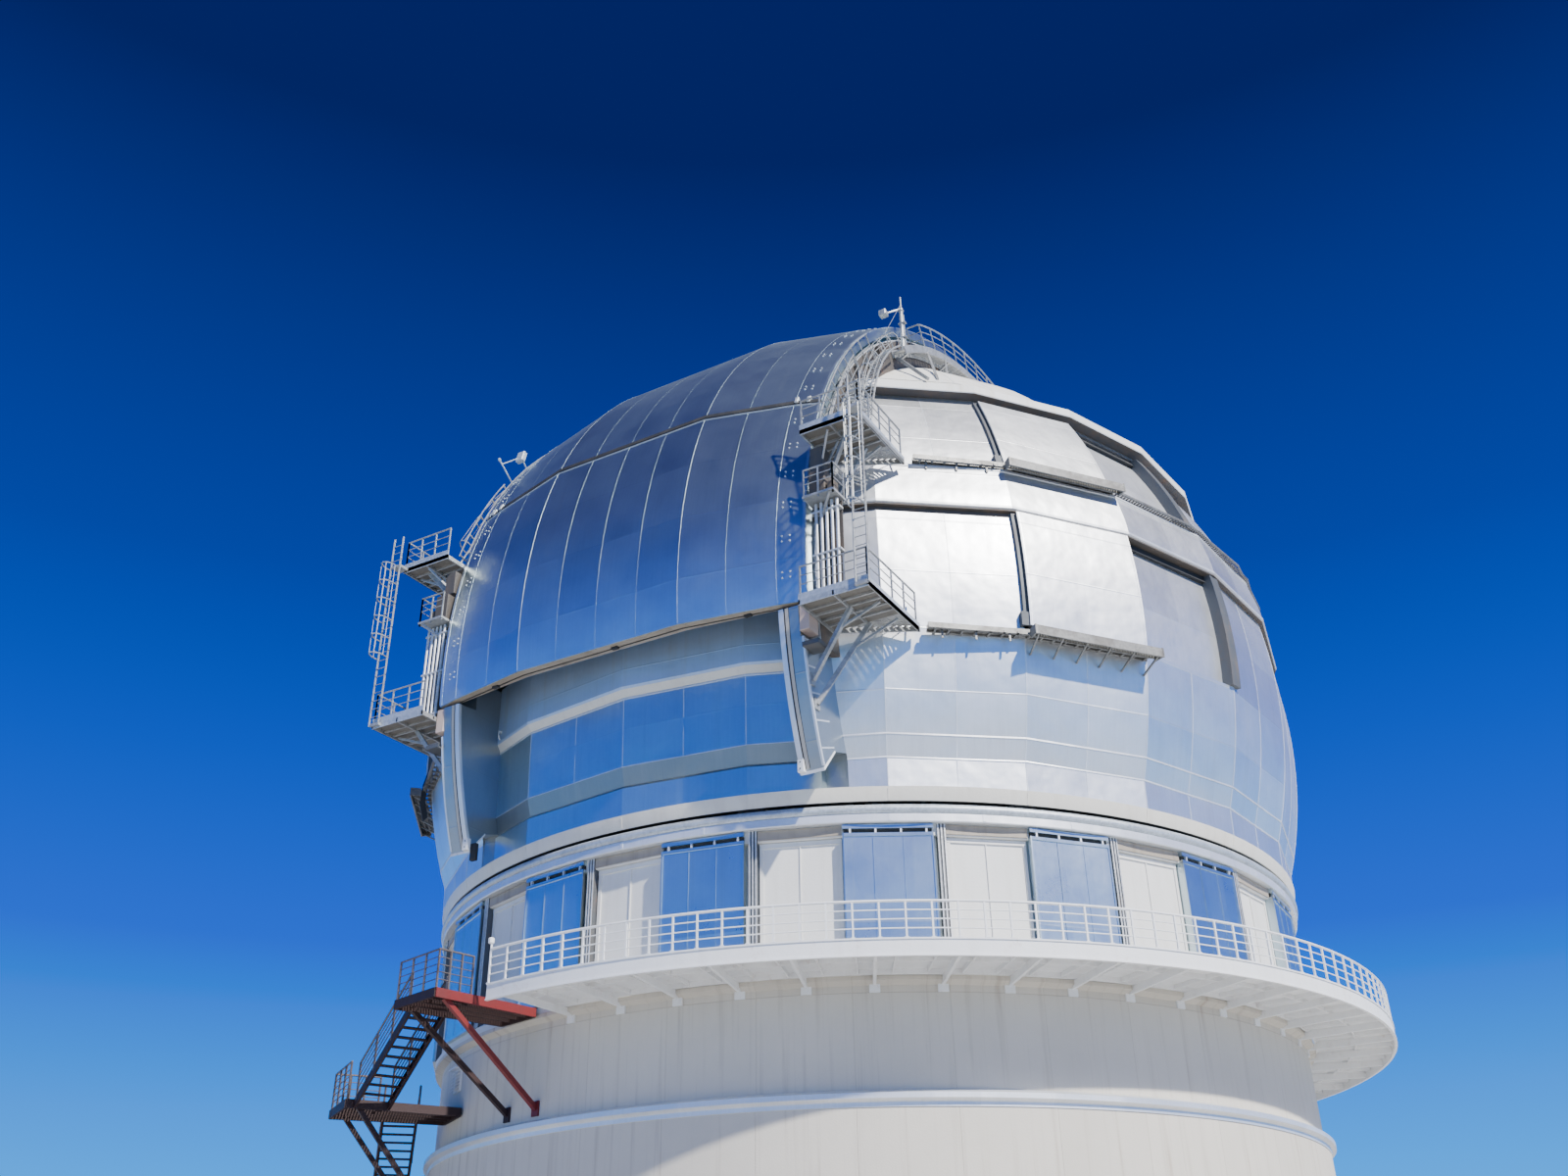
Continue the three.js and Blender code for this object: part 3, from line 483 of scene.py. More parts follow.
class Signal:
    """A number socket of a material that takes part in Python expressions."""

    def __init__(self, recipe: "Recipe", socket: Socket) -> None:
        """Keeps the socket and the recipe that it belongs to."""
        self.recipe = recipe
        self.socket = socket

    def __add__(self, other: "Signal | float") -> "Signal":
        """Sum."""
        return self.recipe.math("ADD", self, other)

    def __sub__(self, other: "Signal | float") -> "Signal":
        """Difference."""
        return self.recipe.math("SUBTRACT", self, other)

    def __rsub__(self, other: float) -> "Signal":
        """Difference from a plain number."""
        return self.recipe.math("SUBTRACT", other, self)

    def __mul__(self, other: "Signal | float") -> "Signal":
        """Product."""
        return self.recipe.math("MULTIPLY", self, other)

    __radd__ = __add__
    __rmul__ = __mul__

    def floor(self) -> "Signal":
        """The whole number below."""
        return self.recipe.math("FLOOR", self)

    def fraction(self) -> "Signal":
        """What is over the whole number below."""
        return self.recipe.math("FRACT", self)

    def edge(self) -> "Signal":
        """0 half way between two whole numbers, 1 at them."""
        return (self.fraction() - 0.5).power(2.0) * 4.0

    def most(self, other: "Signal | float") -> "Signal":
        """The larger of two."""
        return self.recipe.math("MAXIMUM", self, other)

    def power(self, exponent: float) -> "Signal":
        """The power by a plain number."""
        return self.recipe.math("POWER", self, exponent)

    def rise(self, low: float, high: float) -> "Signal":
        """A smooth step from 0 at low to 1 at high."""
        inputs = {"Value": self, "From Min": low, "From Max": high}
        node = self.recipe.node("ShaderNodeMapRange", {"interpolation_type": "SMOOTHSTEP"}, inputs)
        return Signal(self.recipe, node.outputs[0])


class Recipe:
    """The node tree of one material."""

    def __init__(self, name: str) -> None:
        """Starts a material with its shader and output."""
        self.material = bpy.data.materials.new(name)
        self.material.use_nodes = True
        self.tree = self.material.node_tree
        self.tree.nodes.clear()
        self.shader = self.node("ShaderNodeBsdfPrincipled")
        self.node("ShaderNodeOutputMaterial", inputs={"Surface": self.shader.outputs[0]})

    def node(
        self, kind: str, settings: dict | None = None, inputs: dict | None = None,
    ) -> bpy.types.Node:
        """Adds a node.

        Args:
            kind: the node's type.
            settings: its properties, set before its sockets.
            inputs: values or links of its sockets, by name or number.

        Returns:
            The node.
        """
        node = self.tree.nodes.new(kind)
        for key, value in (settings or {}).items():
            setattr(node, key, value)
        for key, value in (inputs or {}).items():
            if isinstance(value, Signal):
                value = value.socket
            if isinstance(value, Socket):
                self.tree.links.new(value, node.inputs[key])
            else:
                node.inputs[key].default_value = value
        return node

    def math(self, operation: str, *values: "Signal | float") -> Signal:
        """Adds a Math node on values."""
        node = self.node("ShaderNodeMath", {"operation": operation}, dict(enumerate(values)))
        return Signal(self, node.outputs[0])

    def place(self) -> tuple[Signal, Signal, Signal]:
        """The point being shaded, in metres of the full-size building."""
        coordinates = self.node("ShaderNodeTexCoord")
        split = self.node("ShaderNodeSeparateXYZ", inputs={0: coordinates.outputs["Object"]})
        return tuple(Signal(self, socket) * (1 / SCALE) for socket in split.outputs)

    def vector(self, x: "Signal | float", y: "Signal | float", z: "Signal | float") -> Socket:
        """Joins three numbers."""
        return self.node("ShaderNodeCombineXYZ", inputs={0: x, 1: y, 2: z}).outputs[0]

    def noise(self, at: Socket, scale: float, detail: float, roughness: float) -> Signal:
        """Adds soft noise.

        Args:
            at: the place that it is read at.
            scale: how many blotches fit in a metre.
            detail: how many finer layers it has.
            roughness: how strong they are.

        Returns:
            A number around 0.5.
        """
        inputs = {"Vector": at, "Scale": scale, "Detail": detail, "Roughness": roughness}
        return Signal(self, self.node("ShaderNodeTexNoise", inputs=inputs).outputs[0])

    def chance(self, column: Signal, row: "Signal | float") -> Signal:
        """One random number for each sheet."""
        at = self.vector(column, row, 0.0)
        return Signal(self, self.node("ShaderNodeTexWhiteNoise", inputs={"Vector": at}).outputs[0])

    def blend(
        self, factor: "Signal | float", low: "Colour | Socket", high: "Colour | Socket",
        kind: str = "MIX",
    ) -> Socket:
        """Mixes or multiplies two colours.

        Args:
            factor: how much of the second colour there is.
            low: the first colour.
            high: the second colour.
            kind: how they are blended.

        Returns:
            The new colour.
        """
        ends = [(*end, 1.0) if isinstance(end, tuple) else end for end in (low, high)]
        settings = {"data_type": "RGBA", "blend_type": kind}
        return self.node("ShaderNodeMix", settings, {0: factor, 6: ends[0], 7: ends[1]}).outputs[2]

    def finish(
        self, colour: Socket, bright: Signal, roughness: Signal, relief: Signal, depth: float,
        metallic: float = 0.0,
    ) -> bpy.types.Material:
        """Links the surface and sets what is the same all over it.

        Args:
            colour: the base colour.
            bright: what the colour is multiplied by.
            roughness: the roughness.
            relief: the relief, as a number around 0.5.
            depth: how deep the relief is, in metres of the model.
            metallic: how metallic it is all over.

        Returns:
            The finished material.
        """
        grey = self.node("ShaderNodeCombineColor", inputs={0: bright, 1: bright, 2: bright})
        colour = self.blend(1.0, colour, grey.outputs[0], "MULTIPLY")
        inputs = {"Strength": 1.0, "Distance": depth, "Height": relief}
        bump = self.node("ShaderNodeBump", inputs=inputs)
        for name, socket in (
            ("Base Color", colour), ("Roughness", roughness.socket), ("Normal", bump.outputs[0]),
        ):
            self.tree.links.new(socket, self.shader.inputs[name])
        self.shader.inputs["Metallic"].default_value = metallic
        return self.material


@dataclass(frozen=True)
class Finish:
    """What every finish has: a name and the record's slot."""

    name: str
    slot: Slot

    @cache
    def material(self) -> bpy.types.Material:
        """Makes the material, once."""
        recipe = Recipe(self.name)
        return self.surface(recipe, *recipe.place())

    def surface(self, recipe: Recipe, x: Signal, y: Signal, z: Signal) -> bpy.types.Material:
        """Fills in the recipe.

        Args:
            recipe: the material in the making.
            x: the place across the slit.
            y: the place from front to back.
            z: the height.

        Returns:
            The finished material.
        """
        raise NotImplementedError


@dataclass(frozen=True)
class SheetMetal(Finish):
    """Weathered aluminium sheets of different tones, with laps, streaks and soft dents."""

    layout: SheetLayout = SheetLayout.DOME
    colour: Colour = (0.78, 0.80, 0.82)
    stain: Colour = (0.42, 0.43, 0.43)
    metallic: float = 0.92
    roughness: float = 0.40
    spread: float = 0.06
    streaks: float = 0.16
    dents: float = 0.018
    lap: float = 0.22

    def grid(self, recipe: Recipe, x: Signal, y: Signal, z: Signal) -> tuple[Signal, Signal]:
        """The place in sheet widths and in sheet lengths, both above zero."""
        wide, long = self.layout.value
        if self.layout is SheetLayout.LEAF:
            beta = recipe.math("ARCTAN2", z - SPHERE_Z, y * -1.0) * DEGREES
            return x * (1 / wide) + 40.0, beta * (1 / long) + 40.0
        azimuth = recipe.math("ARCTAN2", x, y * -1.0) * DEGREES
        if self.layout is SheetLayout.DRUM:
            return (azimuth - FIRST_BAY) * (1 / wide) + 60.0, z * (1 / long)
        return azimuth * (1 / wide) + 60.0, (z - 17.9) * (1 / long) + 9.0

    def surface(self, recipe: Recipe, x: Signal, y: Signal, z: Signal) -> bpy.types.Material:
        """Tones by sheet and by column, streaks down the sheets, clouds, laps and dents."""
        across, along = self.grid(recipe, x, y, z)
        here = recipe.vector(x, y, z)
        tone = recipe.chance(across.floor(), along.floor()) - 0.5
        column_tone = recipe.chance(across.floor(), 0.5) - 0.5
        runs = recipe.noise(recipe.vector(across * 2.6, along * 0.16, 3.0), 2.2, 4.0, 0.62)
        fine_runs = recipe.noise(recipe.vector(across * 9.0, along * 0.4, 7.0), 3.0, 3.0, 0.6)
        cloud = recipe.noise(here, 0.55, 4.0, 0.6) - 0.5
        grain = recipe.noise(here, 9.0, 3.0, 0.65)
        lap = along.edge().rise(0.972, 0.995).most(across.edge().rise(0.984, 0.998) * 0.6)
        bright = 1.0 + tone * self.spread + column_tone * self.spread * 0.7
        bright = bright + cloud * 0.20 + (grain - 0.5) * 0.08 + (fine_runs - 0.5) * 0.12
        streak = runs.rise(0.50, 0.74) * self.streaks
        base = recipe.blend(streak, self.colour, self.stain)
        base = recipe.blend(lap * self.lap, base, self.stain)
        roughness = self.roughness + tone * self.spread + cloud * 0.10 + streak * 0.12
        relief = recipe.noise(here, 0.42, 1.5, 0.4) * 0.72
        relief = relief + recipe.noise(here, 1.9, 1.0, 0.4) * 0.20
        relief = relief + along.edge().rise(0.94, 0.985) * 0.05 + grain * 0.012
        depth = self.dents * SCALE * 4
        return recipe.finish(base, bright, roughness + grain * 0.03, relief, depth, self.metallic)


@dataclass(frozen=True)
class Paint(Finish):
    """Weathered paint with soft dirt, runs and rust that breaks through."""

    colour: Colour = (0.80, 0.81, 0.80)
    dirt: Colour = (0.42, 0.38, 0.32)
    rust: Colour = (0.30, 0.12, 0.05)
    dirtiness: float = 0.30
    rusting: float = 0.0
    roughness: float = 0.45
    metallic: float = 0.0

    def surface(self, recipe: Recipe, x: Signal, y: Signal, z: Signal) -> bpy.types.Material:
        """Dirt in runs and clouds, and rust in spots."""
        here = recipe.vector(x, y, z)
        runs = recipe.noise(recipe.vector(x * 2.4, y * 2.4, z * 0.22), 1.0, 4.0, 0.6)
        cloud = recipe.noise(here, 0.8, 5.0, 0.62)
        grain = recipe.noise(here, 14.0, 3.0, 0.6)
        grime = (runs.rise(0.47, 0.72) * 0.65 + cloud.rise(0.46, 0.74) * 0.55) * self.dirtiness
        base = recipe.blend(grime, self.colour, self.dirt)
        spots = (recipe.noise(here, 5.5, 4.0, 0.7) * 0.5 + cloud * 0.5).rise(0.57, 0.66)
        rust = spots * self.rusting
        base = recipe.blend(rust, base, self.rust)
        roughness = self.roughness + (cloud - 0.5) * 0.16 + grime * 0.25 + rust * 0.3
        relief = grain * 0.5 + cloud * 0.5 + rust * 0.4
        bright = 0.93 + cloud * 0.10 + grain * 0.05
        return recipe.finish(base, bright, roughness, relief, 0.004, self.metallic)


@dataclass(frozen=True)
class Zinc(Finish):
    """Hot-dip galvanised steel with its spangle, dulled in places."""

    colour: Colour = (0.68, 0.69, 0.69)
    dull: Colour = (0.42, 0.43, 0.43)
    metallic: float = 0.45
    roughness: float = 0.42

    def surface(self, recipe: Recipe, x: Signal, y: Signal, z: Signal) -> bpy.types.Material:
        """Crystals of different tones under dull clouds."""
        here = recipe.vector(x, y, z)
        cells = recipe.node("ShaderNodeTexVoronoi", inputs={"Vector": here, "Scale": 16.0})
        split = recipe.node("ShaderNodeSeparateColor", inputs={0: cells.outputs["Color"]})
        spangle = Signal(recipe, split.outputs[0])
        cloud = recipe.noise(here, 1.6, 4.0, 0.6)
        grain = recipe.noise(here, 24.0, 2.0, 0.5)
        base = recipe.blend(cloud.rise(0.42, 0.70) * 0.6, self.colour, self.dull)
        bright = 0.86 + spangle * 0.22 + grain * 0.06
        roughness = self.roughness + spangle * 0.12 + (cloud - 0.5) * 0.2
        relief = spangle * 0.5 + grain * 0.5
        return recipe.finish(base, bright, roughness, relief, 0.0015, self.metallic)


@dataclass(frozen=True)
class Concrete(Finish):
    """Painted concrete cast in lifts, with fine pores and rusty runs."""

    colour: Colour = (0.64, 0.60, 0.52)
    dirt: Colour = (0.36, 0.31, 0.25)
    rust: Colour = (0.36, 0.17, 0.08)
    bay: float = 10.0
    lift: float = 2.8

    def surface(self, recipe: Recipe, x: Signal, y: Signal, z: Signal) -> bpy.types.Material:
        """Tones by lift, open joints, pores, and dirty and rusty runs."""
        here = recipe.vector(x, y, z)
        azimuth = recipe.math("ARCTAN2", x, y * -1.0) * DEGREES
        across = (azimuth - FIRST_BAY) * (1 / self.bay) + 40.0
        along = z * (1 / self.lift)
        tone = recipe.chance(across.floor(), along.floor())
        cloud = recipe.noise(here, 0.6, 6.0, 0.65)
        pores = recipe.noise(here, 22.0, 3.0, 0.7)
        runs = recipe.noise(recipe.vector(azimuth * 0.9, z * 0.10, 2.0), 1.0, 4.0, 0.65)
        joint = across.edge().rise(0.982, 0.996).most(along.edge().rise(0.975, 0.992))
        base = recipe.blend(runs.rise(0.50, 0.72) * 0.42, self.colour, self.dirt)
        base = recipe.blend(runs.rise(0.645, 0.74) * 0.45, base, self.rust)
        base = recipe.blend(joint * 0.35, base, self.dirt)
        bright = 0.90 + cloud * 0.16 + (tone - 0.5) * 0.07 + (pores - 0.5) * 0.08
        relief = pores * 0.35 + cloud * 0.35 - joint * 0.5
        return recipe.finish(base, bright, 0.82 + (pores - 0.5) * 0.2, relief, 0.006)


ALUMINIUM_DOME = SheetMetal("dome_sheets", Slot.ALUMINIUM)
# Painted reflection: the leaf and front wall sheets are tinted blue-green so that they reflect the
# sky bluer.
ALUMINIUM_LEAF = SheetMetal(
    "leaf_sheets", Slot.ALUMINIUM, SheetLayout.LEAF, colour=(0.68, 0.81, 0.82), metallic=0.985,
    roughness=0.31, spread=0.03, streaks=0.10, dents=0.010,
)
ALUMINIUM_WALL = SheetMetal(
    "front_wall_sheets", Slot.ALUMINIUM, colour=(0.62, 0.72, 0.72), metallic=0.98,
    roughness=0.30, spread=0.03, dents=0.007,
)
# Painted reflection: the wall head's sheets coloured blue for the sky that they reflect in the
# shade under the lip.
HEAD_METAL = SheetMetal(
    "wall_head_sheets", Slot.ALUMINIUM, colour=(0.42, 0.55, 0.74), metallic=0.55,
    roughness=0.45, spread=0.04, streaks=0.25,
)
# Painted shade: the front wall's downward-facing slope is darkened for the shade and the dark
# reflection it gets.
SHADED_SLOPE_METAL = SheetMetal(
    "slope_sheets_painted_shade", Slot.ALUMINIUM, colour=(0.30, 0.32, 0.31), metallic=0.9,
    roughness=0.42, spread=0.04, streaks=0.25, dents=0.010,
)
# Painted reflection: the bay sheets are tinted blue-green so that they reflect the sky bluer.
ALUMINIUM_BAY = SheetMetal(
    "vent_sheets", Slot.ALUMINIUM, SheetLayout.DRUM, colour=(0.58, 0.70, 0.74), metallic=0.98,
    roughness=0.28, spread=0.03, dents=0.007,
)
ALUMINIUM_TRIM = SheetMetal(
    "seam_strips", Slot.ALUMINIUM, metallic=0.6, roughness=0.42, streaks=0.1, lap=0.0,
)
# Painted shade: the legs' sheets are darkened because their sides stand in shade.
LEG_METAL = SheetMetal(
    "leg_sheets", Slot.CLADDING, colour=(0.36, 0.40, 0.43), metallic=0.9, roughness=0.38,
    spread=0.03, streaks=0.3, lap=0.0,
)
# Painted glint: seams at the leaf's bends and edges, and the edge under the leaf joint, brighter
# than the sheets as if catching the light; its dirt colour is a dimmer blue tone of the same glint.
GLINT_SEAM = Paint(
    "leaf_seams", Slot.ALUMINIUM, colour=(0.74, 0.82, 0.86), dirt=(0.52, 0.64, 0.70), metallic=0.92,
    dirtiness=0.8, roughness=0.33,
)
PALE_PANEL = Paint(
    "pale_vent_panels", Slot.PALE, colour=(0.76, 0.75, 0.71), dirt=(0.50, 0.46, 0.38),
    dirtiness=0.25, roughness=0.5,
)
FASCIA = Paint(
    "skirt_fascia", Slot.PALE, colour=(0.74, 0.71, 0.62), dirt=(0.48, 0.43, 0.35), dirtiness=0.35,
)
CLADDING = Paint(
    "arch_cladding", Slot.CLADDING, colour=(0.50, 0.47, 0.41), dirt=(0.26, 0.20, 0.15),
    dirtiness=0.5, rusting=0.25,
)
CROWN = Paint(
    "crown_coating", Slot.CROWN, colour=(0.80, 0.79, 0.74), dirt=(0.56, 0.47, 0.31),
    dirtiness=0.45, roughness=0.5,
)
ZINC = Zinc("galvanised_steel", Slot.GALVANISED)
TOWER_STEEL = Zinc(
    "tower_steel", Slot.GALVANISED, colour=(0.40, 0.41, 0.41), dull=(0.20, 0.20, 0.19),
)
TRACK_STEEL = Zinc(
    "track_steel", Slot.GALVANISED, colour=(0.22, 0.22, 0.21), dull=(0.10, 0.09, 0.08),
)
KICK_PLATE = Zinc(
    "kick_plates", Slot.GALVANISED, colour=(0.50, 0.55, 0.60), dull=(0.34, 0.38, 0.43),
)
# Painted shade: the stair's grey handrails darkened to a brown-grey because they stand in shade.
HANDRAIL = Zinc(
    "stair_handrails", Slot.GALVANISED, colour=(0.17, 0.14, 0.13), dull=(0.06, 0.05, 0.05),
)
WHITE = Paint(
    "white_steel", Slot.WHITE, colour=(0.84, 0.85, 0.85), dirt=(0.48, 0.45, 0.40),
    dirtiness=0.22, rusting=0.18,
)
# Painted sunlight: the red steel as it looks in the sun, used only for the one sunlit beam and
# brace of the stair.
RED = Paint(
    "oxide_red_steel", Slot.RED, colour=(0.17, 0.014, 0.014), dirt=(0.06, 0.015, 0.012),
    rust=(0.16, 0.05, 0.03), dirtiness=0.4, rusting=0.25, roughness=0.5,
)
# Painted shade: the stair's red steel darkened to near black because it stands in shade.
SHADED_RED = Paint(
    "red_steel_painted_shade", Slot.RED, colour=(0.024, 0.006, 0.006), dirt=(0.012, 0.006, 0.006),
    rust=(0.05, 0.02, 0.014), dirtiness=0.5, rusting=0.25, roughness=0.6,
)
SEAL = Paint(
    "dark_seals", Slot.CLADDING, colour=(0.020, 0.021, 0.023), dirt=(0.06, 0.055, 0.05),
    dirtiness=0.5, roughness=0.7,
)
# Painted shade: a dark brown steel for the webs, soffits, sheet and boxes that stand in shade.
SHADED_STEEL = Paint(
    "shaded_steel", Slot.CLADDING, colour=(0.085, 0.075, 0.065), dirt=(0.16, 0.11, 0.075),
    dirtiness=0.7, rusting=0.3, roughness=0.6,
)
# Painted shade: the beige pans under the platforms darkened because they lie in shade.
SHADED_UNDERSIDE = Paint(
    "underside_painted_shade", Slot.GALVANISED, colour=(0.17, 0.16, 0.14), dirt=(0.09, 0.08, 0.06),
    dirtiness=0.5, roughness=0.6,
)
PINK_BOX = Paint(
    "beige_box", Slot.GALVANISED, colour=(0.56, 0.44, 0.38), dirt=(0.34, 0.24, 0.18), dirtiness=0.4,
)
DARK_STEEL = Paint(
    "dark_steel", Slot.GALVANISED, colour=(0.10, 0.11, 0.12), dirt=(0.17, 0.14, 0.11),
    dirtiness=0.6, rusting=0.2, roughness=0.55, metallic=0.3,
)
SOFFIT = Paint(
    "lip_soffit", Slot.CLADDING, colour=(0.36, 0.31, 0.24), dirt=(0.16, 0.13, 0.10), dirtiness=0.6,
)
CONCRETE = Concrete("cast_wall", Slot.CONCRETE)
SCREED = Concrete(
    "floor_screed", Slot.SCREED, colour=(0.30, 0.30, 0.29), dirt=(0.18, 0.17, 0.16),
    rust=(0.2, 0.17, 0.14), bay=20.0,
)
PALE_FLOOR = Paint(
    "studio_floor", Slot.SCREED, colour=(0.48, 0.48, 0.46), dirt=(0.42, 0.42, 0.40),
    dirtiness=0.1, roughness=0.8,
)


# Sub-assemblies

def numbered(stem: str) -> list[str]:
    """The names of the four solids of a round wall."""
    return [f"{stem}_{k}" for k in range(1, 5)]


def pair(stem: str) -> list[str]:
    """The names of a solid on the right and of its twin on the left."""
    return [f"{stem}_right", f"{stem}_left"]


@dataclass
class SubAssembly:
    """A group of pieces that are built together and then dressed."""

    made: dict[str, Workpiece] = field(default_factory=dict, init=False)

    def piece(self, name: str) -> Workpiece:
        """The piece of that name, started if it is new."""
        return self.made.setdefault(name, Workpiece())

    def sides(
        self, name: str, profile: Sequence[Point], span: Point = SIDE, beside: float = BESIDE,
    ) -> None:
        """Adds a faceted stretch of the dome to both sides of the slit.

        Args:
            name: the piece.
            profile: radius and height of its section.
            span: the first and last azimuth on the right side.
            beside: how far from the slit's middle it is cut off.
        """
        self.piece(name).ring(profile, span, FACET, outside(beside), BOTH)

    def place(
        self, body: Body, nodes: Sequence[str] = (), sharp: float = 30.0, **finishes: Finish,
    ) -> None:
        """Places pieces that share a body and the solids that they stand for.

        Args:
            body: the body that they ride on.
            nodes: the solids that they stand for.
            sharp: the angle above which an edge stays sharp.
            finishes: the finish of each piece, by its name.
        """
        for name, finish in finishes.items():
            self.made.pop(name).place(name, finish, body, nodes, sharp)

    def build(self) -> None:
        """Makes the meshes."""
        raise NotImplementedError

    def dress(self) -> None:
        """Gives each mesh its finish and its body."""
        raise NotImplementedError


@dataclass
class Drum(SubAssembly):
    """The round concrete wall with its ledge, its top lip and a louvred hood."""

    inner: float = 15.0
    lower: float = 15.6
    upper: float = 15.45
    ledge: float = 8.4
    drip: float = 15.78
    lip: float = 15.70
    top: float = 11.6
    floor: float = 11.2
    floor_radius: float = 15.2
    hood_azimuth: float = -32.0
    hood_height: float = 10.55
    hood_slats: int = 6

    def build(self) -> None:
        """Makes the meshes."""
        lower, upper, ledge, top = self.lower, self.upper, self.ledge, self.top
        self.piece("drum_wall").ring([
            (self.inner, 0), (lower, 0), (lower, ledge), (upper, ledge + 0.1), (upper, top),
            (self.floor_radius, top), (self.floor_radius, self.floor), (self.inner, self.floor),
        ])
        self.piece("ledge_flashing").ring([
            (lower - 0.02, ledge - 0.22), (lower + 0.025, ledge - 0.22),
            (lower + 0.03, ledge - 0.1), (self.drip, ledge - 0.02), (self.drip, ledge + 0.12),
            (upper + 0.01, ledge + 0.24), (upper - 0.02, ledge + 0.2), (lower - 0.02, ledge),
        ])
        self.piece("drum_lip").ring([
            (upper - 0.03, top - 0.22), (upper + 0.05, top - 0.2), (self.lip - 0.04, top - 0.12),
            (self.lip, top - 0.12), (self.lip, top - 0.001), (upper - 0.03, top - 0.001),
        ])
        frame = at_azimuth(self.hood_azimuth, upper, self.hood_height)
        hood = self.piece("louvred_hood")
        hood.block((-0.05, -0.34, -0.36), (0.05, 0.34, 0.36), [frame], 0.01)
        for height in spread(-0.26, 0.26, self.hood_slats):
            slat = Matrix.Translation((0.1, 0, height)) @ Matrix.Rotation(0.6, 4, "Y")
            hood.box((0.13, 0.64, 0.015), [frame @ slat])
        hood.block((0.0, -0.38, 0.34), (0.24, 0.38, 0.38), [frame])

    def dress(self) -> None:
        """Gives each mesh its finish and its body."""
        self.place(Body.BUILDING, numbered("drum_wall"), drum_wall=CONCRETE)
        self.place(
            Body.BUILDING, ledge_flashing=ALUMINIUM_TRIM, drum_lip=CONCRETE, louvred_hood=WHITE,
        )


@dataclass
class VentStorey(SubAssembly):
    """Eighteen bays, each with a column, a set-back pale panel and a proud metal panel."""

    first: float = FIRST_BAY
    bays: int = 18
    bay: float = 20.0
    step: float = 10.0
    inner: float = 15.15
    back: float = 15.5
    face: float = 15.86
    sill: float = 15.72
    foot: float = 11.6006
    top: float = 15.95
    deck: float = 11.8
    pale: Point = (0.6, 9.45)
    metal: Point = (9.6, 19.1)
    lugs: Point = (10.4, 18.4)
    guides: tuple[float, ...] = (-0.36, 0.0, 0.36)

    def arc(self, name: str, profile: Sequence[Point], near: float, far: float) -> None:
        """Adds a flat stretch of wall to each bay.

        Args:
            name: the piece.
            profile: radius of the facet's corners and height.
            near: its first azimuth in the bay.
            far: its last azimuth in the bay.
        """
        bit = bmesh.new()
        rims = []
        for azimuth in (self.first + near, self.first + far):
            verts = []
            for radius, height in profile:
                wall = facet(radius, azimuth, self.step, self.first)
                verts.append(bit.verts.new(polar(wall, azimuth, height)))
            rims.extend(bit.faces.new(verts).edges)
        bmesh.ops.bridge_loops(bit, edges=rims)
        bmesh.ops.recalc_face_normals(bit, faces=bit.faces[:])
        turns = [Matrix.Rotation(math.radians(self.bay * k), 4, "Z") for k in range(self.bays)]
        self.piece(name).take(bit, turns)

    def build(self) -> None:
        """Makes the meshes."""
        back, sill, foot, top = self.back, self.sill, self.foot, self.top
        self.piece("vent_back_wall").ring([
            (self.inner, foot), (sill, foot), (sill, 11.80), (sill - 0.05, 11.85), (back, 11.86),
            (back, top - 0.35), (back + 0.2, top - 0.33), (back + 0.2, top), (self.inner, top),
        ], (self.first, self.first + 360), self.step)
        self._pale_panels(self.deck + 0.07, top - 0.36)
        self._metal_panels(self.deck + 0.02, top - 0.28)
        self._columns()

    def _pale_panels(self, low: float, high: float) -> None:
        """The set-back panels with their frames and the soffit over them."""
        back, face, top = self.back, self.back + 0.05, self.top
        self.arc("pale_panels", rectangle(back - 0.04, face, low, high), *self.pale)
        for near, far in ((0.6, 1.0), (4.9, 5.02), (9.1, 9.45)):
            self.arc("pale_panels", rectangle(face - 0.01, face + 0.035, low, high), near, far)
        for bottom, height in ((low, 0.12), (high - 0.14, 0.14)):
            section = rectangle(face - 0.01, face + 0.045, bottom, bottom + height)
            self.arc("pale_panels", section, *self.pale)
        soffit = rectangle(back + 0.19, back + 0.24, top - 0.30, top - 0.02)
        self.arc("bay_soffits", soffit, 0.5, 9.5)

    def _metal_panels(self, low: float, high: float) -> None:
        """The proud panels with their frames, and the dark slot with lugs over them."""
        back, face, top = self.back, self.face, self.top
        self.arc("metal_panels", rectangle(back - 0.04, face - 0.03, low, high), *self.metal)
        for near, far, inset in (
            (9.6, 9.75, 0.0), (12.75, 12.79, 0.022), (15.9, 15.94, 0.022), (18.95, 19.1, 0.0),
        ):
            self.arc("metal_panels", rectangle(face - 0.04, face - inset, low, high), near, far)
        for bottom, height in ((low, 0.10), (high - 0.09, 0.09)):
            section = rectangle(face - 0.04, face, bottom, bottom + height)
            self.arc("metal_panels", section, *self.metal)
        self.arc("vent_slots", rectangle(back - 0.03, back + 0.27, high, top - 0.14), 9.7, 19.0)
        head = rectangle(back + 0.15, face, top - 0.15, top - 0.03)
        self.arc("metal_panels", head, *self.metal)
        lug = rectangle(back + 0.25, face - 0.02, high - 0.01, top - 0.13)
        for az in spread(*self.lugs, 4):
            self.arc("vent_lugs", lug, az - 0.1, az + 0.1)

    def _columns(self) -> None:
        """The dark columns between the bays, each with three guide rails."""
        face = self.face - 0.08
        column = rectangle(self.back - 0.1, face - 0.02, self.deck, self.top)
        self.arc("vent_columns", column, -0.45, 0.45)
        rail = rectangle(face - 0.04, face, self.deck, self.top)
        for az in self.guides:
            self.arc("vent_guides", rail, az - 0.07, az + 0.07)

    def dress(self) -> None:
        """Gives each mesh its finish and its body."""
        self.place(
            Body.BUILDING, numbered("vent_wall"), 8, vent_back_wall=PALE_PANEL,
            pale_panels=PALE_PANEL, bay_soffits=SOFFIT, metal_panels=ALUMINIUM_BAY,
            vent_slots=SEAL, vent_lugs=ALUMINIUM_TRIM, vent_columns=DARK_STEEL, vent_guides=ZINC,
        )


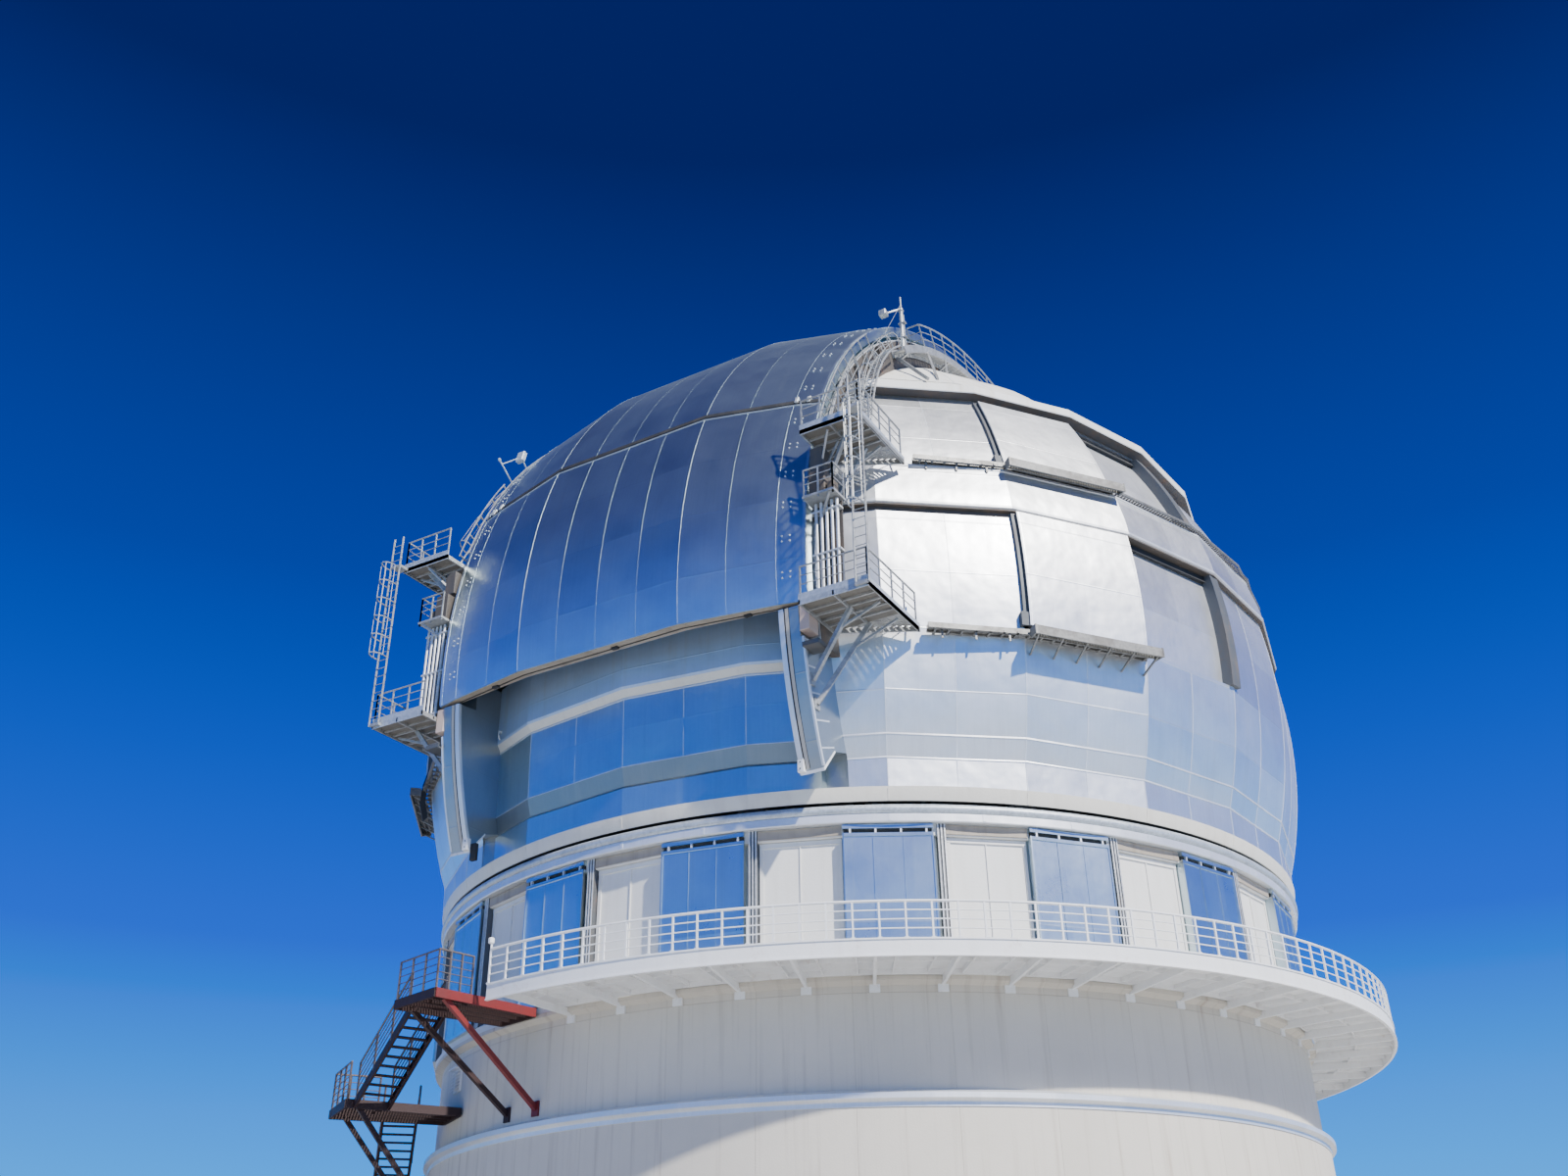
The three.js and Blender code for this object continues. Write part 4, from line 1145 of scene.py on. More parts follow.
@dataclass
class RailRing(SubAssembly):
    """The fixed ring on the vent walls: head band, half-round cover and rail."""

    inner: float = 15.15
    low: float = 15.9506
    face: float = 15.92
    middle: float = 16.2
    top: float = 16.5
    rail: float = 16.62
    joints: int = 36

    def build(self) -> None:
        """Makes the meshes."""
        inner, low, face, middle, top = self.inner, self.low, self.face, self.middle, self.top
        band = self.piece("head_band")
        band.ring([
            (inner, low), (face - 0.02, low), (face, low + 0.03), (face, middle), (inner, middle),
        ])
        half_round = [
            (15.86 + 0.14 * math.cos(a), 16.345 + 0.145 * math.sin(a))
            for a in map(math.radians, (-88, -65, -40, -15, 10, 35, 60, 85))
        ]
        cover = [(inner, middle), *half_round, (15.5, top), (inner, top)]
        self.piece("half_round_cover").ring(cover)
        self.piece("dome_rail").ring([
            (15.16, top), (15.5, top), (15.5, 16.54), (15.42, 16.56), (15.42, self.rail),
            (15.24, self.rail), (15.24, 16.56), (15.16, 16.54),
        ])
        azimuths = [k * 360 / self.joints for k in range(self.joints)]
        band.box((0.02, 0.10, 0.2), [at_azimuth(az, face, 16.09) for az in azimuths])

    def dress(self) -> None:
        """Gives each mesh its finish and its body."""
        self.place(
            Body.BUILDING, ["ring_beam"], head_band=ALUMINIUM_TRIM, half_round_cover=KICK_PLATE,
            dome_rail=DARK_STEEL,
        )


@dataclass
class Gallery(SubAssembly):
    """The white gallery round the drum: deck, edge channel, brackets and railing."""

    span: Point = (-9.3, 190.7)
    inner: float = 15.74
    radius: float = 18.3
    deck: float = 11.8
    wall: float = 15.46
    posts: int = 92
    joists: int = 58
    brackets: int = 29
    mid_rails: tuple[float, ...] = (0.34, 0.56, 0.78)

    def build(self) -> None:
        """Makes the meshes."""
        span, inner, edge, floor = self.span, self.inner, self.radius, self.deck
        deck = self.piece("gallery_deck")
        deck.ring(rectangle(inner, edge - 0.08, floor - 0.05, floor), span)
        deck.ring([
            (edge - 0.09, floor - 0.36), (edge, floor - 0.36), (edge, floor - 0.32),
            (edge - 0.03, floor - 0.32), (edge - 0.03, floor + 0.08), (edge, floor + 0.08),
            (edge, floor + 0.12), (edge - 0.09, floor + 0.12),
        ], span)
        deck.ring(rectangle(inner, inner + 0.06, floor - 0.2, floor - 0.05), span)
        deck.ring(rectangle(17.0, 17.06, floor - 0.17, floor - 0.05), span)
        for az in spread(span[0] + 0.4, span[1] - 0.4, self.joists):
            deck.box((2.4, 0.05, 0.12), [at_azimuth(az, 17.0, floor - 0.11)])
        for az in spread(span[0] + 2, span[1] - 2, self.brackets):
            frame = at_azimuth(az)
            start, end = Vector((self.wall, 0, 11.48)), Vector((edge - 0.08, 0, 11.58))
            deck.bar(frame @ start, frame @ end, 0.09, 0.2)
            deck.box((0.06, 0.3, 0.34), [at_azimuth(az, self.wall + 0.02, 11.36)])
        self._railing()

    def _railing(self) -> None:
        """Posts, top rail, mid rails and the lamp on the first post."""
        radius = self.radius - 0.045
        foot, head = self.deck + 0.12, self.deck + GUARD
        height = head - foot
        railing = self.piece("gallery_railing")
        stations = spread(self.span[0] + 0.12, self.span[1] - 0.12, self.posts)
        posts = [at_azimuth(az, radius, foot + height / 2) for az in stations]
        railing.box((0.05, 0.05, height), posts)
        railing.box((0.09, 0.12, 0.02), [at_azimuth(az, radius, foot + 0.01) for az in stations])
        ends = (stations[0], stations[-1])
        railing.ring(round_section(radius, head, 0.036, 8), ends, 2.2)
        for share in self.mid_rails:
            railing.ring(round_section(radius, self.deck + GUARD * share, 0.018), ends, 2.2)
        lamp = at_azimuth(stations[0], radius, head)
        railing.rod(lamp.translation, lamp @ Vector((0, 0, 0.16)), 0.03)
        railing.box((0.16, 0.14, 0.18), [lamp @ Matrix.Translation((0.02, 0, 0.24))], 0.03)

    def dress(self) -> None:
        """Gives each mesh its finish and its body."""
        self.place(Body.BUILDING, ["walkway_deck"], gallery_deck=WHITE)
        railings = ["walkway_railing_front", "walkway_railing_back"]
        self.place(Body.BUILDING, railings, gallery_railing=WHITE)


@dataclass(frozen=True)
class Flight:
    """One straight flight of the outside stair."""

    lane: float
    azimuth: Point
    heights: Point
    risers: int

    def ends(self) -> list[Vector]:
        """The middle of its top and of its foot."""
        return [polar(self.lane, az, z) for az, z in zip(self.azimuth, self.heights)]


@dataclass
class OutsideStair(SubAssembly):
    """The stair that climbs round the drum, with landings, braces and railings."""

    width: float = 1.1
    top_azimuth: float = -11.6
    wall: float = 15.6
    handrail: float = 0.98
    ground_end: float = 0.905
    bars: tuple[Point, ...] = (
        (1.0, 0.032), (0.80, 0.016), (0.61, 0.016), (0.42, 0.016), (0.23, 0.016),
    )
    flights: tuple[Flight, ...] = (
        Flight(18.35, (-18, -29), (11.75, 9.6), 10),
        Flight(16.95, (-36, -52.5), (9.6, 6.3), 16),
        Flight(16.95, (-59.5, -76), (6.3, 3.15), 15),
        Flight(16.95, (-83, -99), (3.15, 0), 15),
    )

    def guard(self, points: Sequence[Vector], height: float, middle_posts: int = 2) -> None:
        """Adds a railing of posts and round bars.

        Args:
            points: its corners, at floor level.
            height: the height of its top rail.
            middle_posts: how many posts stand between two corners.
        """
        piece = self.piece("stair_railings")
        for share, radius in self.bars:
            piece.path([point + Z_AXIS * height * share for point in points], radius)
        stations = list(points)
        for start, end in zip(points, points[1:]):
            for i in range(middle_posts):
                stations.append(start.lerp(end, (i + 1) / (middle_posts + 1)))
        for station in stations:
            foot = min(0.12, max(0.0, station.z - 0.01))
            start, end = station - Z_AXIS * foot, station + Z_AXIS * height
            piece.bar(start, end, 0.05, 0.05, X_AXIS)

    def flight(self, stage: Flight) -> None:
        """Adds stringers, treads and handrails."""
        top, foot = stage.ends()
        run = foot - top
        level = Vector((run.x, run.y, 0)).normalized()
        across = Vector((-run.y, run.x, 0)).normalized() * self.width / 2
        steel = self.piece("stair_flights")
        on_ground = stage.heights[1] == 0
        last = self.ground_end if on_ground else 1.0
        for side in (across, -across):
            web_top = top + side - Z_AXIS * 0.13
            web_foot = top + side + run * last - Z_AXIS * 0.13
            steel.bar(web_top, web_foot, 0.03, 0.26)
            inward = -side.normalized() * 0.03
            rise = Vector((0, 0, 0.115))
            for lift in (rise, -rise):
                steel.bar(web_top + inward + lift, web_foot + inward + lift, 0.08, 0.02)
            if on_ground:
                sole = Vector((*web_foot.xy, 0.002))
                steel.bar(web_foot + Z_AXIS * 0.12, sole, 0.24, 0.05, run)
            self.guard([top + side + run * 0.02, top + side + run * (last - 0.03)], self.handrail)
        treads = self.piece("stair_treads")
        for step in range(1, stage.risers):
            centre = top + run * (step / stage.risers) - Z_AXIS * 0.10
            for shift in (-0.1, -0.035, 0.03, 0.095):
                slat = centre + level * shift
                treads.bar(slat + across * 0.96, slat - across * 0.96, 0.05, 0.035)

    def landing(
        self, azimuths: Point, wall: float, outer: float, height: float,
        guard: Sequence[Point], sunlit: bool = False,
    ) -> None:
        """Adds a landing: channels round a grating, with its guard rail.

        Args:
            azimuths: the first and last azimuth.
            wall: the distance to the wall that it stands against.
            outer: the distance to its outer corners.
            height: the floor's height.
            guard: radius and azimuth of the guard rail's corners.
            sunlit: whether its beam on the far side gets the red painted as sunlit, while the rest
                keeps the red of painted shade.
        """
        low, high = sorted(azimuths)
        inner = wall + 0.02
        dark = self.piece("stair_flights")
        places = ((inner, low), (outer, low), (outer, high), (inner, high))
        corners = [polar(radius, az, height) for radius, az in places]
        drop = Z_AXIS * 0.13
        middle = (corners[0] + corners[2]) / 2
        edge = [corner + (middle - corner).normalized() * 0.08 - drop for corner in corners]
        for start, end in ((0, 1), (1, 2), (3, 0)):
            dark.bar(edge[start], edge[end], 0.08, 0.26)
        # Painted light: the far-side beam of the sunlit landing gets the brighter red, and the
        # other beams get the dark red of painted shade.
        far_side = self.piece("stair_bright_beams") if sunlit else dark
        far_side.bar(edge[2], edge[3], 0.08, 0.26)
        for share in (0.25, 0.5, 0.75):
            start, end = edge[0].lerp(edge[3], share), edge[1].lerp(edge[2], share)
            dark.bar(start, end, 0.05, 0.16)
        treads = self.piece("stair_treads")
        for share in spread(0.02, 0.98, round((outer - inner) / 0.09)):
            start, end = corners[0].lerp(corners[1], share), corners[3].lerp(corners[2], share)
            treads.bar(start - Z_AXIS * 0.02, end - Z_AXIS * 0.02, 0.045, 0.035)
        self.guard([polar(radius, az, height) for radius, az in guard], GUARD)

    def brace(
        self, radius: float, azimuth: float, height: float, foot: float, wall: float,
        name: str = "stair_flights",
    ) -> None:
        """Adds a brace from under a landing down to a plate on the wall.

        Args:
            radius: the distance from the axis to its top.
            azimuth: where it stands.
            height: the height of its top.
            foot: the height of its foot.
            wall: the distance to the wall.
            name: the piece.
        """
        start, end = polar(radius, azimuth, height), polar(wall + 0.02, azimuth, foot)
        self.piece(name).bar(start, end, 0.14, 0.14)
        self.piece(name).box((0.05, 0.3, 0.42), [at_azimuth(azimuth, wall + 0.03, foot)])

    def build(self) -> None:
        """Makes the meshes."""
        for stage in self.flights:
            self.flight(stage)
        upper, lower, third, ground = self.flights
        near, far, wall = self.top_azimuth, upper.azimuth[0], self.wall
        guard = [(18.2, near - 0.2), (19.4, near - 0.2), (19.4, far + 0.2)]
        self.landing((far, near), 15.74, 19.5, 11.75, guard, sunlit=True)
        # This brace is painted as sunlit, like the far-side beam of the top landing.
        self.brace(19.0, near - 0.6, 11.55, 8.95, 15.45, "stair_bright_beams")
        self.brace(19.0, far + 0.6, 11.55, 8.95, 15.45)
        guard = [(19.1, -29.2), (19.1, -35.8), (17.7, -35.8)]
        self.landing((upper.azimuth[1], lower.azimuth[0]), 15.45, 19.2, 9.6, guard)
        for azimuth in (-29.6, -35.4):
            self.brace(18.7, azimuth, 9.4, 5.7, wall)
        for above, stage in ((lower, third), (third, ground)):
            first, last = above.azimuth[1], stage.azimuth[0]
            height = stage.heights[0]
            guard = [(17.6, first - 0.2), (17.6, last + 0.2)]
            self.landing((first, last), wall, 17.7, height, guard)
            for azimuth in (first - 0.6, last + 0.6):
                self.brace(17.2, azimuth, height - 0.2, height - 1.7, wall)

    def dress(self) -> None:
        """Gives each mesh its finish and its body."""
        nodes = [
            "stair_top_landing", "stair_upper_flight", "stair_middle_landing", "stair_lower_flight",
            "stair_third_flight", "stair_ground_flight",
        ]
        # stair_flights and stair_treads carry the red of painted shade; the sunlit beams carry the
        # red painted as sunlit.
        self.place(
            Body.BUILDING, nodes, stair_flights=SHADED_RED, stair_bright_beams=RED,
            stair_treads=SHADED_RED, stair_railings=HANDRAIL,
        )


@dataclass
class SkirtRing(SubAssembly):
    """The turning ring under the dome: fascia with joints, soffit and trucks."""

    radius: float = 16.02
    bottom: float = 16.58
    top: float = 17.0
    trucks: int = 12
    truck_radius: float = 15.45
    truck_height: float = 16.7606
    joints: int = 24

    def build(self) -> None:
        """Makes the meshes."""
        radius, bottom, top = self.radius, self.bottom, self.top
        fascia, trucks = self.piece("fascia"), self.piece("trucks")
        fascia.ring([
            (15.84, bottom + 0.03), (15.92, bottom), (15.935, bottom + 0.03),
            (radius - 0.01, top - 0.05), (radius, top), (15.84, top),
        ])
        self.piece("skirt_soffit").ring([
            (15.2, bottom + 0.22), (15.72, bottom + 0.22), (15.82, bottom + 0.02),
            (15.84, bottom + 0.02), (15.84, top), (15.2, top),
        ])
        strip = [(15.925, bottom + 0.02), (radius - 0.012, top - 0.06)]
        for k in range(self.joints):
            fascia.strip(strip, k * 360 / self.joints, 0.05, 0.012, step=1.0)
        for k in range(self.trucks):
            azimuth = 15 + 360 * k / self.trucks
            frame = at_azimuth(azimuth, self.truck_radius, self.truck_height)
            trucks.box((0.3, 0.8, 0.27), [frame], 0.03)
            for side in (-0.25, 0.25):
                wheel = frame @ Matrix.Translation((0, side, -0.02))
                start, end = wheel @ Vector((-0.2, 0, 0)), wheel @ Vector((0.2, 0, 0))
                trucks.rod(start, end, 0.115, 20)

    def dress(self) -> None:
        """Gives each mesh its finish and its body."""
        self.place(
            Body.DOME, ["skirt_ring"], fascia=FASCIA, skirt_soffit=DARK_STEEL, trucks=DARK_STEEL,
        )


@dataclass
class DomeShell(SubAssembly):
    """The faceted shells beside the slit, with vent recesses, posts and sliding panels."""

    inner: float = SHELL_INNER
    skirt: float = 16.02
    lower_track: float = 21.8
    band: float = 26.3
    upper_track: float = 28.0
    crown: float = 32.3
    recess: Point = (45.0, 75.0)
    slide: Point = (45.4, 59.6)
    post: Point = (74.2, 75.9)
    gap: Point = (60.0, 74.2)
    row: float = 0.7

    def on_sphere(self, low: float, high: float, radius: float = SPHERE_R) -> list[Point]:
        """Radius and height on a sphere, from one height to another."""
        count = max(2, math.ceil(abs(high - low) / self.row) + 1)
        return [(sphere_radius(z, radius), z) for z in spread(low, high, count)]

    def layer(self, low: float, high: float, outer: float, inner: float) -> list[Point]:
        """The section of what lies between two spheres."""
        return [*self.on_sphere(low, high, outer), *self.on_sphere(high, low, inner)]

    def shell(self, name: str, outer: Sequence[Point], span: Point) -> None:
        """Adds a stretch of shell to both sides, cut off beside the arch.

        Args:
            name: the piece.
            outer: the outer face, from the bottom up.
            span: the first and last azimuth on the right side.
        """
        low, high = outer[0][1], outer[-1][1]
        self.sides(name, [*outer, *self.on_sphere(high, low, self.inner)], span)

    def build(self) -> None:
        """Makes the meshes."""
        self._lower()
        self._middle()
        foot = self.upper_track + GAP
        recess = (self.upper_track + 0.25, self.crown - 0.25)
        self._vent_tier("upper", (foot, self.crown), recess, ())

    def _lower(self) -> None:
        """The shell between skirt and lower track, with its seams."""
        bends = [(16.05, 17.9), (16.27, 18.57)]
        outline = [(self.skirt, DOME_FOOT), *bends, *self.on_sphere(19.1, self.lower_track)]
        self.shell("lower_shell", outline, SIDE)
        leg = LEG_X[1] + GAP
        top = ARCH_END_Z - GAP
        outer = [*(point for point in outline if point[1] < top), (sphere_radius(top), top)]
        profile = [*outer, *self.on_sphere(top, DOME_FOOT, self.inner)]
        between = (*outside(leg), (Vector((BESIDE, 0, 0)), X_AXIS))
        self.piece("lower_shell").ring(profile, (15, 30), FACET, between, BOTH)
        for radius, z in bends:
            strip = rectangle(radius - 0.03, radius + 0.014, z - 0.025, z + 0.025)
            self.sides("shell_seams", strip, (15, 90), leg)
            self.sides("shell_seams", strip, (90, 165))
        for azimuths, stretch, proud in (
            (spread(30, 142.5, 16), outline[2:], 0.008), (spread(30, 150, 17), outline[:3], 0.007),
        ):
            for az in azimuths:
                self.piece("shell_seams").strip(stretch, az, 0.03, proud, BOTH)

    def _vent_tier(self, name: str, tier: Point, ends: Point, top: Sequence[Point]) -> None:
        """Adds a tier with its recess, a dark strip of painted shade in its head gap, post and
        sliding panel.

        Args:
            name: middle or upper.
            tier: the heights between which the wall follows the sphere.
            ends: foot and head of the recess.
            top: what the profile goes on with over the sphere.
        """
        low, high = tier
        foot, head = ends
        front, back = self.recess
        sphere = self.on_sphere(low, high)
        floor = self.inner + 0.17
        hollow = [
            *self.on_sphere(low, foot), *self.on_sphere(foot, head, floor),
            *self.on_sphere(head, high), *top,
        ]
        self.shell(f"{name}_shell", [*sphere, *top], (SIDE[0], front))
        self.shell(f"{name}_shell", hollow, self.recess)
        self.shell(f"{name}_shell", [*sphere, *top], (back, SIDE[1]))
        post = self.layer(foot, head, self.inner + 0.52, self.inner + 0.05)
        self.piece("vent_posts").ring(post, self.post, 1, copies=BOTH)
        # Painted shade: a dark strip at the head of the recess stands for the shade there.
        gap = self.layer(head - 0.28, head, floor + 0.12, floor - 0.05)
        self.piece("head_gaps").ring(gap, self.gap, FACET, copies=BOTH)
        self._slide(name, floor, foot + 0.05, head - 0.05)
        for az in (30, 37.5, *spread(82.5, 142.5, 9), 150):
            self.piece("shell_seams").strip(sphere, az, 0.03, 0.007, BOTH)

    def _slide(self, name: str, floor: float, low: float, high: float) -> None:
        """The sliding panel over the front half of the recess, with its body, side strip and foot
        wedge in a dark finish of painted shade.
        """
        near, far = self.slide
        skin, core, rear = floor + 0.45, floor + 0.39, floor + 0.002
        cover = self.piece(f"{name}_slide_skin")
        cover.ring(self.layer(low, high, skin, core), (near, far), FACET, copies=BOTH)
        # Painted shade: the panel's body, a strip along its side and a wedge at its foot are dark
        # for the shade on the panel's side.
        for section, span in (
            (self.layer(low + 0.02, high - 0.02, core, rear), (near + 0.05, far - 0.05)),
            (self.layer(low, high, SPHERE_R + 0.10, rear), (near - 0.5, near + 0.05)),
            (self.layer(low, low + 0.45, SPHERE_R + 0.17, rear), (near - 0.85, near + 0.05)),
        ):
            self.piece("slide_frames").ring(section, span, FACET, copies=BOTH)
        for az, width, proud in (
            (near + 4.7, 0.03, 0.006), (near + 9.4, 0.03, 0.006), (near + 0.15, 0.08, 0.012),
            (far - 0.15, 0.08, 0.012),
        ):
            cover.strip(self.on_sphere(low, high, skin), az, width, proud, BOTH)

    def _middle(self) -> None:
        """The tier over the lower track, with the proud band at its top."""
        foot = self.lower_track + GAP
        top = self.upper_track
        band = [
            (16.98, self.band + 0.02), (16.95, 26.6), (16.88, 26.95), (16.64, 27.9),
            (sphere_radius(top), top),
        ]
        self._vent_tier("middle", (foot, self.band), (foot + 0.12, self.band - 0.1), band)
        # Painted shade: a dark strip on the sphere under the band's lip, and a dark soffit under
        # the lip, stand for the shade that the lip casts.
        slot = self.layer(26.02, 26.2, SPHERE_R + 0.012, SPHERE_R - 0.05)
        self.sides("band_soffit", slot, (15, 44.8))
        self.sides("band_soffit", rectangle(16.6, 16.96, 26.17, 26.21))
        flap = [
            (16.98, 22.5), (17.1, 22.5), (17.26, 21.8), (17.3, 21.1), (17.1, 20.4), (16.95, 20.6),
            (17.1, 21.2), (17.06, 21.9),
        ]
        frame = at_azimuth(-45.2)
        corners = [frame @ Vector((radius, 0, z)) for radius, z in flap]
        self.piece("hanging_seal").plate(corners, frame.to_3x3() @ Vector((0, 0.12, 0)))
        self.sides("band_lip", [
            (sphere_radius(26.2) - 0.1, 26.2), (16.9, 26.2), (17.0, 26.26), (17.0, 26.34),
            (16.9, 26.4), (16.7, 26.4),
        ])
        trim = [(16.62, 27.86), (16.67, 27.88), (16.64, 27.98), (16.5, 27.98)]
        self.sides("band_trim", trim)

    def dress(self) -> None:
        """Gives each mesh its finish and its body."""
        for name in ("lower", "middle", "upper"):
            shell = {f"{name}_shell": ALUMINIUM_DOME}
            self.place(Body.DOME, pair(f"shell_{name}"), 10, **shell)
        middle, upper = pair("vent_panel_middle"), pair("vent_panel_upper")
        self.place(Body.DOME, middle, 10, middle_slide_skin=ALUMINIUM_DOME)
        self.place(Body.DOME, upper, 10, upper_slide_skin=ALUMINIUM_DOME)
        self.place(Body.DOME, middle + upper, 10, slide_frames=DARK_STEEL)
        self.place(
            Body.DOME, sharp=20, shell_seams=ALUMINIUM_TRIM, vent_posts=DARK_STEEL,
            band_soffit=SHADED_STEEL, hanging_seal=SEAL, head_gaps=SEAL,
        )
        self.place(Body.DOME, sharp=12, band_lip=ALUMINIUM_TRIM, band_trim=ALUMINIUM_TRIM)


@dataclass
class Crown(SubAssembly):
    """The pale cap on both sides of the slit, with its rim, its soffit in painted shade and its
    reveal.
    """

    foot: float = 32.3006
    rim: float = 15.02
    heart: float = 14.3
    line: float = 33.9

    def build(self) -> None:
        """Makes the meshes."""
        foot, rim, heart = self.foot, self.rim, self.heart
        heights = (33.45, 34.0, 34.6, 35.4, 36.3, 37.0, 37.7, 38.3, 38.8, 39.35)
        cap = [(sphere_radius(z), z) for z in heights]
        lining = [(sphere_radius(z, SHELL_INNER), z) for z in (38.5, 37.4, 36.2, 35.0, 33.6, 32.66)]
        self.sides("crown_cap", [(14.35, 32.95), *cap, *lining])
        for az in spread(30, 150, 17):
            reach = (ARCH_X[1] + 0.05) / math.sin(math.radians(az))
            outline = [(14.33, 32.97), *((radius, z) for radius, z in cap if radius > reach)]
            if len(outline) > 1:
                self.piece("crown_seams").strip(outline, az, 0.05, 0.008, BOTH)
        # Painted shade: the soffit under the rim is dark for the shade beneath it.
        self.sides("crown_soffit", rectangle(heart, rim - 0.025, foot, foot + 0.028))
        self.sides("crown_rim", [
            (rim - 0.02, foot), (rim, foot + 0.03), (rim, 32.60), (rim - 0.04, 32.65),
            (14.6, 32.78), (heart, 32.78), (heart, 32.33), (rim - 0.02, 32.33),
        ])
        reveal = [(heart, 32.76), (14.5, 32.76), (14.46, 32.92), (heart, 32.92)]
        self.sides("crown_reveal", reveal)
        corners = rectangle(SPHERE_R - 0.02, SPHERE_R + 0.02, self.line, self.line + 0.07)
        self.sides("crown_seams", [(sphere_radius(z, radius), z) for radius, z in corners])

    def dress(self) -> None:
        """Gives each mesh its finish and its body."""
        self.place(
            Body.DOME, pair("crown"), 10, crown_cap=CROWN, crown_rim=CROWN,
            crown_soffit=SHADED_STEEL, crown_reveal=SEAL,
        )
        self.place(Body.DOME, pair("crown"), 20, crown_seams=CROWN)


@dataclass
class ArchGirders(SubAssembly):
    """The girders beside the slit with the shutter's rails on them, and the legs in front."""

    inner: float = 14.5
    rail: float = 16.45
    leg_face: float = 17.05
    leg_turns: Point = (-22.1, -5.4)
    back_end: float = 196.0
    ribs: tuple[float, ...] = (-3, 3, 11, 36, 41, 46)

    def side(
        self, name: str, outline: Sequence[Point], span: Point, cuts: Sequence[Cut] = (),
    ) -> None:
        """Adds a plate of y and z corners between two values of x to both sides.

        Args:
            name: the piece.
            outline: its corners.
            span: its two values of x.
            cuts: planes to cut it by.
        """
        corners = [Vector((span[0], y, z)) for y, z in outline]
        self.piece(name).plate(corners, X_AXIS * (span[1] - span[0]), BOTH, cuts)

    def build(self) -> None:
        """Makes the meshes."""
        near, far = ARCH_X
        front_end = ((Z_AXIS * ARCH_END_Z, -Z_AXIS),)
        flange = self.rail - 0.05
        for name, section in (
            ("arch_webs", rectangle(near, far, self.inner, flange)),
            ("shutter_rails", rectangle(near + 0.01, far - 0.01, flange, self.rail)),
        ):
            self.piece(name).arch(section, (-11, 90), cuts=front_end, copies=BOTH)
            self.piece(name).arch(section, (90, self.back_end), copies=BOTH)
        outer, inner = (over(0, radius, self.back_end) for radius in (flange, self.inner))
        self.side("arch_webs", [
            outer.yz, (14.9, 17.5), (14.3, DOME_FOOT), (13.2, DOME_FOOT), (13.2, 18.2), inner.yz,
        ], ARCH_X)
        for beta in self.ribs:
            rib = mirrored(at_beta(beta, far + 0.06, 16.04))
            self.piece("arch_webs").box((0.12, 0.04, 0.68), rib)
        self._leg()
        self._leg_strips()
        self._leg_trim()

    def _leg(self) -> None:
        """The leg's box, in one stretch beside the girder's end and one under it."""
        last, first = self.leg_turns
        outline = [
            *(over(0, self.leg_face, beta).yz for beta in spread(first, last, 10)),
            (-15.15, 17.85), (-14.3, 18.1), (-14.3, DOME_FOOT), (-13.2, DOME_FOOT), (-13.2, 18.2),
            over(0, self.inner, -10).yz, over(0, self.inner, -1.5).yz, over(0, 16.2, -1.5).yz,
            over(0, 16.2, first).yz,
        ]
        end = Z_AXIS * (ARCH_END_Z - GAP)
        self.side("arch_legs", outline, (LEG_X[0], ARCH_X[0] - GAP), ((end, -Z_AXIS),))
        self.side("arch_legs", outline, LEG_X, ((end, Z_AXIS),))

    def _leg_strips(self) -> None:
        """The strips down the leg's face and along its edge."""
        near, far = LEG_X
        face = self.leg_face
        span = (self.leg_turns[0] + 0.4, self.leg_turns[1])
        for name, start, end, proud in (
            ("leg_light_strips", -0.015, 0.15, 0.02), ("leg_dark_lines", 0.15, 0.20, 0.006),
            ("leg_rusty_strips", 0.20, 0.31, 0.014), ("leg_dark_lines", 0.31, 0.325, 0.008),
        ):
            section = rectangle(near + start, near + end, face - 0.10, face + proud)
            self.piece(name).arch(section, span, 2.0, copies=BOTH)
        edge = rectangle(far - 0.05, far + 0.012, face - 0.08, face + 0.012)
        ends = ((Z_AXIS * (ARCH_END_Z - 0.01), Z_AXIS),)
        self.piece("leg_light_strips").arch(edge, span, 2.0, ends, BOTH)

    def _leg_trim(self) -> None:
        """The cap and plate of the leg's foot, its ribs, and the box and tray beside its head."""
        near, far = LEG_X
        face = self.leg_face
        y, z = over(0, face + 0.02, self.leg_turns[0]).yz
        cap = [(y, z - 0.03), (-15.13, 17.83), (-15.15, 17.88), (y - 0.02, z + 0.05)]
        self.side("leg_feet", cap, (near - 0.02, far + 0.02))
        low, high = (near - 0.04, -15.97, 17.1), (near + 0.17, -15.80, 17.5)
        self.piece("leg_feet").block(low, high, BOTH, 0.01)
        dark = self.piece("leg_dark_lines")
        for height in (17.2, 17.4):
            start = Vector((near + 0.06, -15.97, height))
            dark.rod(start, start - Y_AXIS * 0.02, 0.02, copies=BOTH)
        for beta in spread(-20, -9, 5):
            rib = mirrored(at_beta(beta, far + 0.006, face - 0.5))
            self.piece("leg_light_strips").box((0.012, 0.05, 0.8), rib)
        dark.block((-6.2, -15.78, 16.78), (-5.96, -15.62, 17.35), bevel=0.02)
        self.piece("leg_boxes").block((6.86, -16.93, 21.05), (7.19, -16.38, 21.88), BOTH, 0.015)
        self.piece("leg_trays").blocks([
            ((6.96, -16.95, 20.5), (7.5, -16.3, 20.54)),
            ((6.96, -16.97, 20.5), (7.5, -16.94, 20.64)),
            ((7.48, -16.95, 20.5), (7.51, -16.3, 20.64)),
        ])

    def dress(self) -> None:
        """Gives each mesh its finish and its body."""
        # The girder webs take the dark steel of painted shade, because they stand in shade beside
        # the shutter.
        self.place(Body.DOME, pair("arch_girder"), arch_webs=SHADED_STEEL, shutter_rails=ZINC)
        self.place(
            Body.DOME, pair("arch_leg"), 12, arch_legs=LEG_METAL, leg_light_strips=ALUMINIUM_TRIM,
            leg_dark_lines=SEAL, leg_rusty_strips=CLADDING,
        )
        self.place(Body.DOME, pair("arch_leg"), leg_feet=WHITE)
        self.place(Body.DOME, leg_boxes=PINK_BOX, leg_trays=DARK_STEEL)


